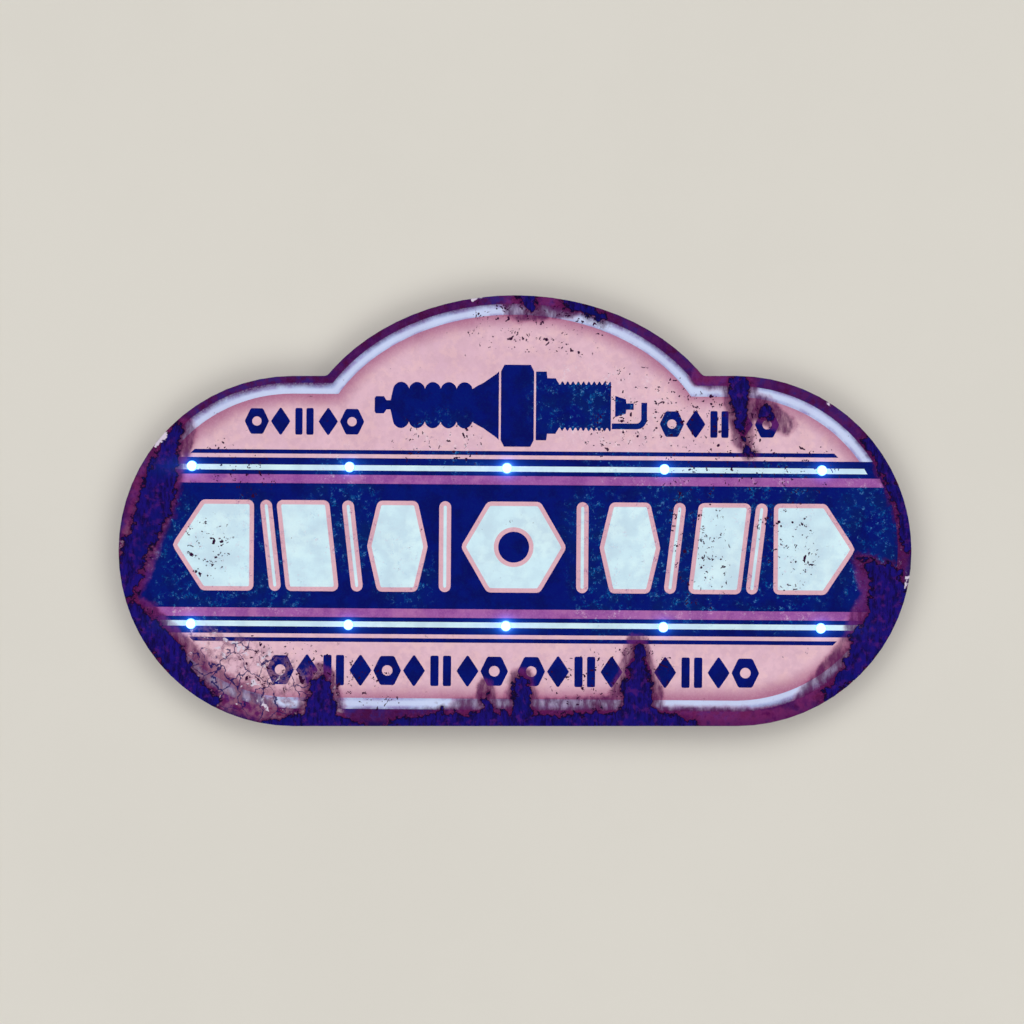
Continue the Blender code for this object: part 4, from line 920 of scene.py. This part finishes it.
def plug_grids():
    """Columns between plus and minus the half height, for each length of the plug, and its bent side wire."""
    grids = []
    for stretch in plug_outline():
        known = np.array(stretch)
        x = np.unique(np.concatenate([known[:, 0], np.arange(known[0, 0], known[-1, 0], 1.0)]))
        z = np.interp(x, *known.T) * np.linspace(-1, 1, 17)[:, None]
        grids.append(np.stack([np.broadcast_to(x, z.shape), z + PLUG_LEVEL], -1))
    bend = np.linspace(-np.pi / 2, 0, 12)
    start, corner = (SIDE_WIRE_START, SIDE_WIRE_RUN_Z), (SIDE_WIRE_BEND_X, SIDE_WIRE_RUN_Z)
    turn = corner + SIDE_WIRE_BEND * np.stack([np.cos(bend), 1 + np.sin(bend)], -1)
    end = (SIDE_WIRE_BEND_X + SIDE_WIRE_BEND, SIDE_WIRE_END_Z)
    lead = np.concatenate([[start], straight(start, corner, 8), turn, [end]])
    across = np.gradient(lead, axis=0)
    across = np.stack([-across[:, 1], across[:, 0]], -1) / np.linalg.norm(across, axis=1, keepdims=True)
    middle = lead + [0, PLUG_LEVEL]
    grids.append(between(middle - SIDE_WIRE_HALF * across, middle + SIDE_WIRE_HALF * across, 3))
    return grids


# The small ornaments' half widths, half heights, hole and spacing, as shares of their row's height.
NUT_SHARES, NUT_HOLE_SHARE = (0.42, 0.44), 0.16
DIAMOND_SHARES = (0.34, 0.5)
BAR_SHARES, BAR_SPACING_SHARE = (0.125, 0.46), 0.19
SMALL_CORNER = 1.0


def row_of_ornaments(first, last, count, level, tall):
    """Nuts, diamonds and pairs of bars in turn along a row. It gives the filled grids and the ring grids."""
    filled, rings = [], []
    for index, x in enumerate(np.linspace(first, last, count)):
        kind = ("nut", "diamond", "bars", "diamond")[index % 4]
        if kind == "nut":
            half_width, half_height = np.multiply(NUT_SHARES, tall)
            ring = rounded(np.array(hexagon(half_width, half_height)) + [x, level], 0, SMALL_CORNER)
            rings.append(nut_rows(ring, tall * NUT_HOLE_SHARE, np.array([x, level]), 5, 48))
        elif kind == "diamond":
            half_width, half_height = np.multiply(DIAMOND_SHARES, tall)
            corners = [(x, level - half_height), (x + half_width, level), (x, level + half_height),
                       (x - half_width, level)]
            filled.append(plate_rows(rounded(corners, 0, SMALL_CORNER, 5), 13, 7))
        else:
            half_width, half_height = np.multiply(BAR_SHARES, tall)
            for side in (-1, 1):
                corners = bar(x + side * tall * BAR_SPACING_SHARE, level, half_height, 2 * half_width)
                filled.append(plate_rows(rounded(corners, 0, SMALL_CORNER, 5), 13, 4))
    return filled, rings


def build_small_ornaments():
    """The plug over the field, and rows of small ornaments beside it and below."""
    print_piece("print_plug", plug_grids(), 2, NAVY_PRINT)
    # Each row's name, the x of its first and last, how many, their level and their height.
    rows = (("upper_left", -195, -123, 5, 94, 22), ("upper_right", 119, 191, 5, 94, 22),
            ("lower_left", -176, -14, 9, -94, 25), ("lower_right", 14, 176, 9, -94, 25))
    for name, first, last, count, level, tall in rows:
        filled, rings = row_of_ornaments(first, last, count, level, tall)
        print_piece(f"print_row_{name}_solid", filled, 2, NAVY_PRINT)
        print_piece(f"print_row_{name}_nuts", rings, 2, NAVY_PRINT, closed=True)


# ---- Lamps and wires ----


def capped(rings):
    """A stack of equal rings joined into a closed skin, with a flat disc on the first and the last."""
    rows, columns = rings.shape[:2]
    last = (rows - 1) * columns
    discs = [list(range(columns))[::-1], list(range(last, last + columns))]
    return rings.reshape(-1, 3), [*grid_faces(rows, columns, closed=True).tolist(), *discs]


def lathe(profile, centre, steps=40):
    """A profile of radius and depth carried round the Y axis through a centre, with a disc at each end."""
    profile = np.asarray(profile, float)
    angles = np.linspace(0, 2 * np.pi, steps, endpoint=False)
    x = centre[0] + profile[:, :1] * np.cos(angles)
    z = centre[2] + profile[:, :1] * np.sin(angles)
    y = np.broadcast_to(profile[:, 1:], x.shape)
    return capped(np.stack([x, y, z], -1))


def block(low, high):
    """A closed box between two corners."""
    corners = np.stack(np.meshgrid(*zip(low, high), indexing="ij"), -1).reshape(-1, 3)
    return corners, [[0, 1, 3, 2], [4, 6, 7, 5], [0, 4, 5, 1], [2, 3, 7, 6], [0, 2, 6, 4], [1, 5, 7, 3]]


def lens_profile(tip):
    """Half a ball in front of a straight barrel, then a flange, as radius and depth from front to back."""
    angles = np.linspace(0.04, np.pi / 2, 16)
    ball = np.stack([LENS_RADIUS * np.sin(angles), tip + LENS_RADIUS * (1 - np.cos(angles))], -1)
    foot = [(LENS_RADIUS, FLANGE_FRONT - 0.3), (LENS_RADIUS, FLANGE_FRONT), (FLANGE_RADIUS, FLANGE_FRONT),
            (FLANGE_RADIUS, FLANGE_BACK)]
    return np.concatenate([ball, foot])


LENS_HEART = (1.0, 1.0, 1.0, 1)
LENS_RIM = (0.10, 0.42, 1.0, 1)
LENS_FOOT = (0.02, 0.05, 0.1, 1)


def lens_material():
    """Lit epoxy: a white heart, a pale blue rim and a soft cell pattern where the light spreads."""
    material, recipe, shader = new_material("Lit lamp lens", 0.5, Emission_Strength=2.4, Roughness=0.12)
    place = recipe.place()
    heart = recipe.kept("heart")
    spread = recipe.sum(heart, recipe.swing(recipe.noise(place, 700), 0.25))
    light = recipe.blend(recipe.ease(spread, 0.45, 1.0), LENS_HEART, LENS_RIM)
    light = recipe.blend(recipe.ease(heart, 1.05, 1.8), light, LENS_FOOT)
    recipe.join(light, shader.inputs["Emission Color"])
    epoxy = recipe.blend(recipe.ease(spread, 0.3, 1.0), ink(235, 245, 255), ink(120, 158, 205))
    recipe.join(epoxy, shader.inputs["Base Color"])
    return material


def build_lamps():
    """Each lamp's lens, flange and two legs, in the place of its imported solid."""
    material = lens_material()
    for row, number, centre in LAMPS:
        low, high = (np.array(corner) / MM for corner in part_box(f"lamp_{row}_{number}"))
        patches = [lathe(lens_profile(low[1]), centre)]
        for side in (-LEG_HALF_SPACING, LEG_HALF_SPACING):
            near = [centre[0] + side - LEG_HALF_SIDE, FLANGE_BACK - 0.2, centre[2] - LEG_HALF_SIDE]
            far = [centre[0] + side + LEG_HALF_SIDE, high[1], centre[2] + LEG_HALF_SIDE]
            patches.append(block(near, far))
        stands_for = [f"lamp_{row}_{number}"]
        obj, points = piece(f"lens_{row}_{number}", patches, material, True, stands_for)
        away = np.hypot(points[:, 0] - centre[0], points[:, 2] - centre[2]) / LENS_RADIUS
        attribute(obj, "heart", np.where(points[:, 1] > FLANGE_FRONT - 0.1, 2.0, away))


def tube(path, radius, sides=10):
    """A round tube: a circle carried along a path, square to it, and closed by a disc at each end."""
    along = np.gradient(path, axis=0)
    along /= np.linalg.norm(along, axis=1, keepdims=True)
    aside = np.cross(along, [0.0, 1.0, 0.0])
    aside /= np.linalg.norm(aside, axis=1, keepdims=True)
    over = np.cross(along, aside)
    angles = np.linspace(0, 2 * np.pi, sides, endpoint=False)[None, :, None]
    return capped(path[:, None] + radius * (np.cos(angles) * aside[:, None] + np.sin(angles) * over[:, None]))


def build_wires(material):
    """Between neighbouring lamps, two strands twisted round one sagging line: a helix on a parabola."""
    for row in ROWS:
        ends = [centre for lamp_row, _number, centre in LAMPS if lamp_row == row]
        for number in range(1, LAMP_COUNT):
            low, high = (np.array(corner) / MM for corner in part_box(f"wire_{row}_{number}"))
            share = np.linspace(0, 1, 181)[:, None]
            start = np.array([low[0], (low[1] + high[1]) / 2, ends[number - 1][2]])
            end = np.array([high[0], start[1], ends[number][2]])
            path = start * (1 - share) + end * share
            path[:, 2] -= WIRE_SAG * 4 * (share * (1 - share))[:, 0]
            turn = 2 * np.pi * STRAND_TURNS * share[:, 0]
            strands = []
            for phase in (0, np.pi):
                offset = np.stack([0 * turn, np.cos(turn + phase), np.sin(turn + phase)], -1)
                strands.append(tube(path + STRAND_OFFSET * offset, STRAND_RADIUS))
            stands_for = [f"wire_{row}_{number}"]
            piece(f"twisted_pair_{row}_{number}", strands, material, True, stands_for)


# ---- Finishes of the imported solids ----


def face_sheet_material():
    """Plum border ink on the front and edge of the sheet, grey primer behind."""
    material, recipe, shader = new_material("Face sheet", 0.3)
    place = recipe.place()
    patchy, grain = recipe.noise(place, 24, 6), recipe.noise(place, 700, 5)
    primer = recipe.blend(recipe.ease(patchy, 0.42, 0.62), ink(92, 90, 92), ink(112, 106, 102))
    primer = recipe.blend(recipe.times(recipe.ease(grain, 0.52, 0.7), 0.4), primer, ink(140, 128, 118))
    rusty = recipe.ease(recipe.noise(place, 46, 7, 0.7), 0.6, 0.68)
    primer = recipe.blend(recipe.times(rusty, 0.7), primer, ink(104, 62, 44))
    behind = recipe.ease(recipe.along("Y"), (FACE_FRONT + 0.5) * MM, (FACE_FRONT + 0.7) * MM)
    edge = recipe.blend(recipe.ease(grain, 0.4, 0.65), PLUM, INDIGO)
    color = recipe.blend(behind, edge, primer)
    feed(recipe, shader, {"Roughness": recipe.ease(grain, 0.3, 0.7, 0.5, 0.72), "Height": grain}, 0.06, color)
    return material


def return_material():
    """Plum paint over steel: streaks of maroon and navy, and rust coming through in spots."""
    material, recipe, shader, finish = weathered(
        "Return paint", ink(70, 26, 86), ink(46, 10, 62), 0.9, 34.0, (0.62, 0.42), specular=0.35
    )
    streaks = recipe.noise(recipe.place((1, 0.35, 1)), 130, 6, 0.7)
    color = recipe.blend(recipe.ease(streaks, 0.56, 0.7), finish["Color"], ink(96, 52, 112))
    spots = recipe.ease(recipe.noise(recipe.place(), 90, 7, 0.7), 0.62, 0.68)
    color = recipe.blend(recipe.times(spots, 0.8), color, ink(92, 50, 52))
    feed(recipe, shader, finish, 0.1, color)
    return material


def zinc_material():
    """Zinc plate: spangle as flat cells of differing grey, with dull bloom in patches."""
    material, recipe, shader, finish = weathered(
        "Zinc plate", ink(176, 178, 182), ink(138, 138, 140), 0.7, 90.0, (0.5, 0.28), metallic=0.9
    )
    spangle = recipe.cells(recipe.place(), 260)
    color = recipe.blend(recipe.ease(spangle, 0.1, 0.6, 0, 0.35), finish["Color"], ink(214, 216, 220))
    feed(recipe, shader, finish, 0.03, color)
    return material


COPPER_SHARE = 0.3


def cell_material():
    """A plain shrink jacket: dark green with a copper-coloured end, split by the place along the cell."""
    material, recipe, shader, finish = weathered(
        "Cell jacket", ink(22, 62, 44), ink(14, 44, 34), 0.8, 60.0, (0.42, 0.26)
    )
    low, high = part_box("cell_1")
    along = recipe.along("X")
    split = low.x + (high.x - low.x) * COPPER_SHARE
    color = recipe.blend(recipe.ease(along, split, split - 0.4 * MM), finish["Color"], ink(176, 112, 62))
    far = recipe.ease(along, high.x - 1.3 * MM, high.x - 0.9 * MM)
    near = recipe.ease(along, low.x + 1.3 * MM, low.x + 0.9 * MM)
    color = recipe.blend(recipe.sum(far, near, clamp=True), color, ink(188, 186, 180))
    feed(recipe, shader, finish, 0.03, color)
    return material


def resistor_material():
    """A tan ceramic coat with bands across it, as a saw-tooth of the place along the body."""
    material, recipe, shader, finish = weathered(
        "Resistor coat", ink(196, 164, 120), ink(170, 136, 96), 0.7, 300.0, (0.5, 0.35)
    )
    low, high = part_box("resistor")
    sides = high - low
    axis = "XYZ"[int(np.argmax(sides))]
    start, length = low["XYZ".index(axis)], max(sides)
    along = recipe.along(axis)
    color = finish["Color"]
    for share, band in ((0.36, ink(90, 46, 24)), (0.46, ink(20, 20, 22)), (0.56, ink(180, 30, 26))):
        away = recipe.away(along, start + share * length)
        color = recipe.blend(recipe.ease(away, 0.55 * MM, 0.45 * MM), color, band)
    feed(recipe, shader, finish, 0.03, color)
    return material


def finish_packed_solids(wire_finish):
    """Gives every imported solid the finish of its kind, by the start of its name."""
    moulded = weathered_material(
        "Moulded black plastic", ink(34, 34, 36), ink(48, 47, 48), 0.7, 120.0, (0.62, 0.42), depth=0.08
    )
    zinc = zinc_material()
    paint = return_material()
    steel = weathered_material(
        "Contact steel", ink(196, 196, 198), ink(150, 148, 144), 0.7, 160.0, (0.42, 0.2), metallic=1.0
    )
    foam = weathered_material(
        "Foam tape", ink(216, 214, 204), ink(182, 178, 166), 0.8, 260.0, (0.95, 0.85),
        depth=0.3, specular=0.15
    )
    knob = weathered_material(
        "Knob plastic", ink(20, 20, 22), ink(36, 36, 38), 0.7, 240.0, (0.6, 0.35), depth=0.04
    )
    finishes = {
        "face_panel": face_sheet_material(), "return_": paint, "seam_splice": paint, "shoulder_splice": paint,
        "hanger_": zinc, "contact_": steel, "switch_body": steel, "switch_knob": knob,
        "lamp_holder": moulded, "wire_clip": moulded, "battery_": moulded, "wire_": wire_finish,
        "feeder_": wire_finish, "positive_lead": wire_finish, "foam_tape": foam, "cell_": cell_material(),
        "resistor": resistor_material(), "lamp_": moulded,
    }
    for name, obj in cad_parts.items():
        start = next(start for start in finishes if name.startswith(start))
        obj.data.materials.clear()
        obj.data.materials.append(finishes[start])


# ---- Stage, light and camera ----

FACE_WIDTH_IN_VIEW = 774.8
LENS = 85.0
SENSOR = 36.0
VIEW_CENTRE = (-2.27, 29.5)
WALL_GAP = 0.4
FLOOR_LEVEL = -760.0
STAGE_REACH = 3000.0
# The light by how far forward it comes from: -1 is square to the face, 0 is along the wall.
RING_INNER_EDGE = (-0.95, -0.87)
RING_OUTER_EDGE = (-0.7, -0.48)
RING_MIDDLE, RING_STRENGTH, GRAZING_SHARE = 0.1, 1.96, 0.13
BACK_EDGE = (-0.1, 0.2)
BACK_STRENGTH = (0.9, 0.9, 0.9, 1)
TOP_EDGE, TOP_SHARES = (-0.6, 0.6), (0.88, 1.12)


def one_sided(name, color, patch, size):
    """A matt stage surface with faint mottling that can't be seen from behind."""
    material, recipe, shader = new_material(name, 0.1, Roughness=0.9)
    mottled = recipe.noise(recipe.place(), size, 5, 0.6)
    recipe.join(recipe.blend(recipe.ease(mottled, 0.35, 0.7), color, patch), shader.inputs["Base Color"])
    clear = recipe.node("ShaderNodeBsdfTransparent")
    behind = recipe.node("ShaderNodeNewGeometry").outputs["Backfacing"]
    mixed = recipe.node("ShaderNodeMixShader", {0: behind, 1: shader.outputs[0], 2: clear.outputs[0]})
    recipe.join(mixed.outputs[0], recipe.tree.nodes["Material Output"].inputs["Surface"])
    return material


def stage_plane(name, corners, material):
    """A flat stage surface of four corners in millimetres, seen by the camera only."""
    mesh = bpy.data.meshes.new(name)
    mesh.from_pydata((np.array(corners) * MM).tolist(), [], [[0, 1, 2, 3]])
    mesh.materials.append(material)
    obj = bpy.data.objects.new(name, mesh)
    bpy.context.scene.collection.objects.link(obj)
    for ray in ("diffuse", "glossy", "transmission", "shadow"):
        setattr(obj, f"visible_{ray}", False)


def build_stage():
    """A pale wall just behind the sign and a pale floor well below it."""
    square = [(-STAGE_REACH, -1), (STAGE_REACH, -1), (STAGE_REACH, 1), (-STAGE_REACH, 1)]
    wall = [(x, WALL_GAP, STAGE_REACH if up > 0 else FLOOR_LEVEL) for x, up in square]
    stage_plane("wall", wall, one_sided("Matt wall paint", ink(216, 212, 203), ink(214, 210, 201), 3.0))
    floor = [(x, up * STAGE_REACH, FLOOR_LEVEL) for x, up in square]
    stage_plane("floor", floor, one_sided("Pale floor", ink(212, 209, 202), ink(206, 203, 196), 4.0))


def build_light():
    """Soft studio light: a broad ring in front, dim in its middle and near the wall's plane, even behind."""
    world = bpy.data.worlds.new("Soft studio")
    bpy.context.scene.world = world
    world.use_nodes = True
    recipe = Recipe(world.node_tree)
    forward = recipe.along("Y", "Generated")
    inner = recipe.ease(forward, *RING_INNER_EDGE, RING_MIDDLE, 1.0)
    outer = recipe.ease(forward, *RING_OUTER_EDGE, RING_STRENGTH, GRAZING_SHARE)
    top_light = recipe.ease(recipe.along("Z", "Generated"), *TOP_EDGE, *TOP_SHARES)
    front = recipe.times(recipe.times(inner, outer), top_light)
    strength = recipe.blend(recipe.ease(forward, *BACK_EDGE), front, BACK_STRENGTH)
    seen = recipe.node("ShaderNodeLightPath").outputs["Is Camera Ray"]
    lit = recipe.node("ShaderNodeBackground", {"Color": strength, "Strength": 1.0})
    backdrop = recipe.node("ShaderNodeBackground", {"Color": ink(222, 219, 212), "Strength": 1.0})
    mixed = recipe.node("ShaderNodeMixShader", {0: seen, 1: lit.outputs[0], 2: backdrop.outputs[0]})
    recipe.join(mixed.outputs[0], recipe.tree.nodes["World Output"].inputs["Surface"])


def build_camera():
    """A long lens square to the face, at the distance that fills the view with its width."""
    camera = bpy.data.cameras.new("Camera")
    camera.lens, camera.sensor_width = LENS, SENSOR
    camera.clip_start, camera.clip_end = 0.05, 30
    obj = bpy.data.objects.new("Camera", camera)
    bpy.context.scene.collection.objects.link(obj)
    distance = FACE_WIDTH_IN_VIEW * LENS / SENSOR
    obj.location = np.array([VIEW_CENTRE[0], FACE_FRONT - distance, VIEW_CENTRE[1]]) * MM
    obj.rotation_euler = (math.pi / 2, 0, 0)
    bpy.context.scene.camera = obj


WIRE_FINISH = weathered_material(
    "Wire sheath", ink(40, 40, 44), ink(62, 60, 62), 0.6, 200.0, (0.5, 0.32), depth=0.03
)

build_camera()
build_stage()
build_light()
build_ground()
build_large_ornaments()
build_small_ornaments()
build_lamps()
build_wires(WIRE_FINISH)
finish_packed_solids(WIRE_FINISH)

bpy.context.scene.view_settings.view_transform = "Standard"
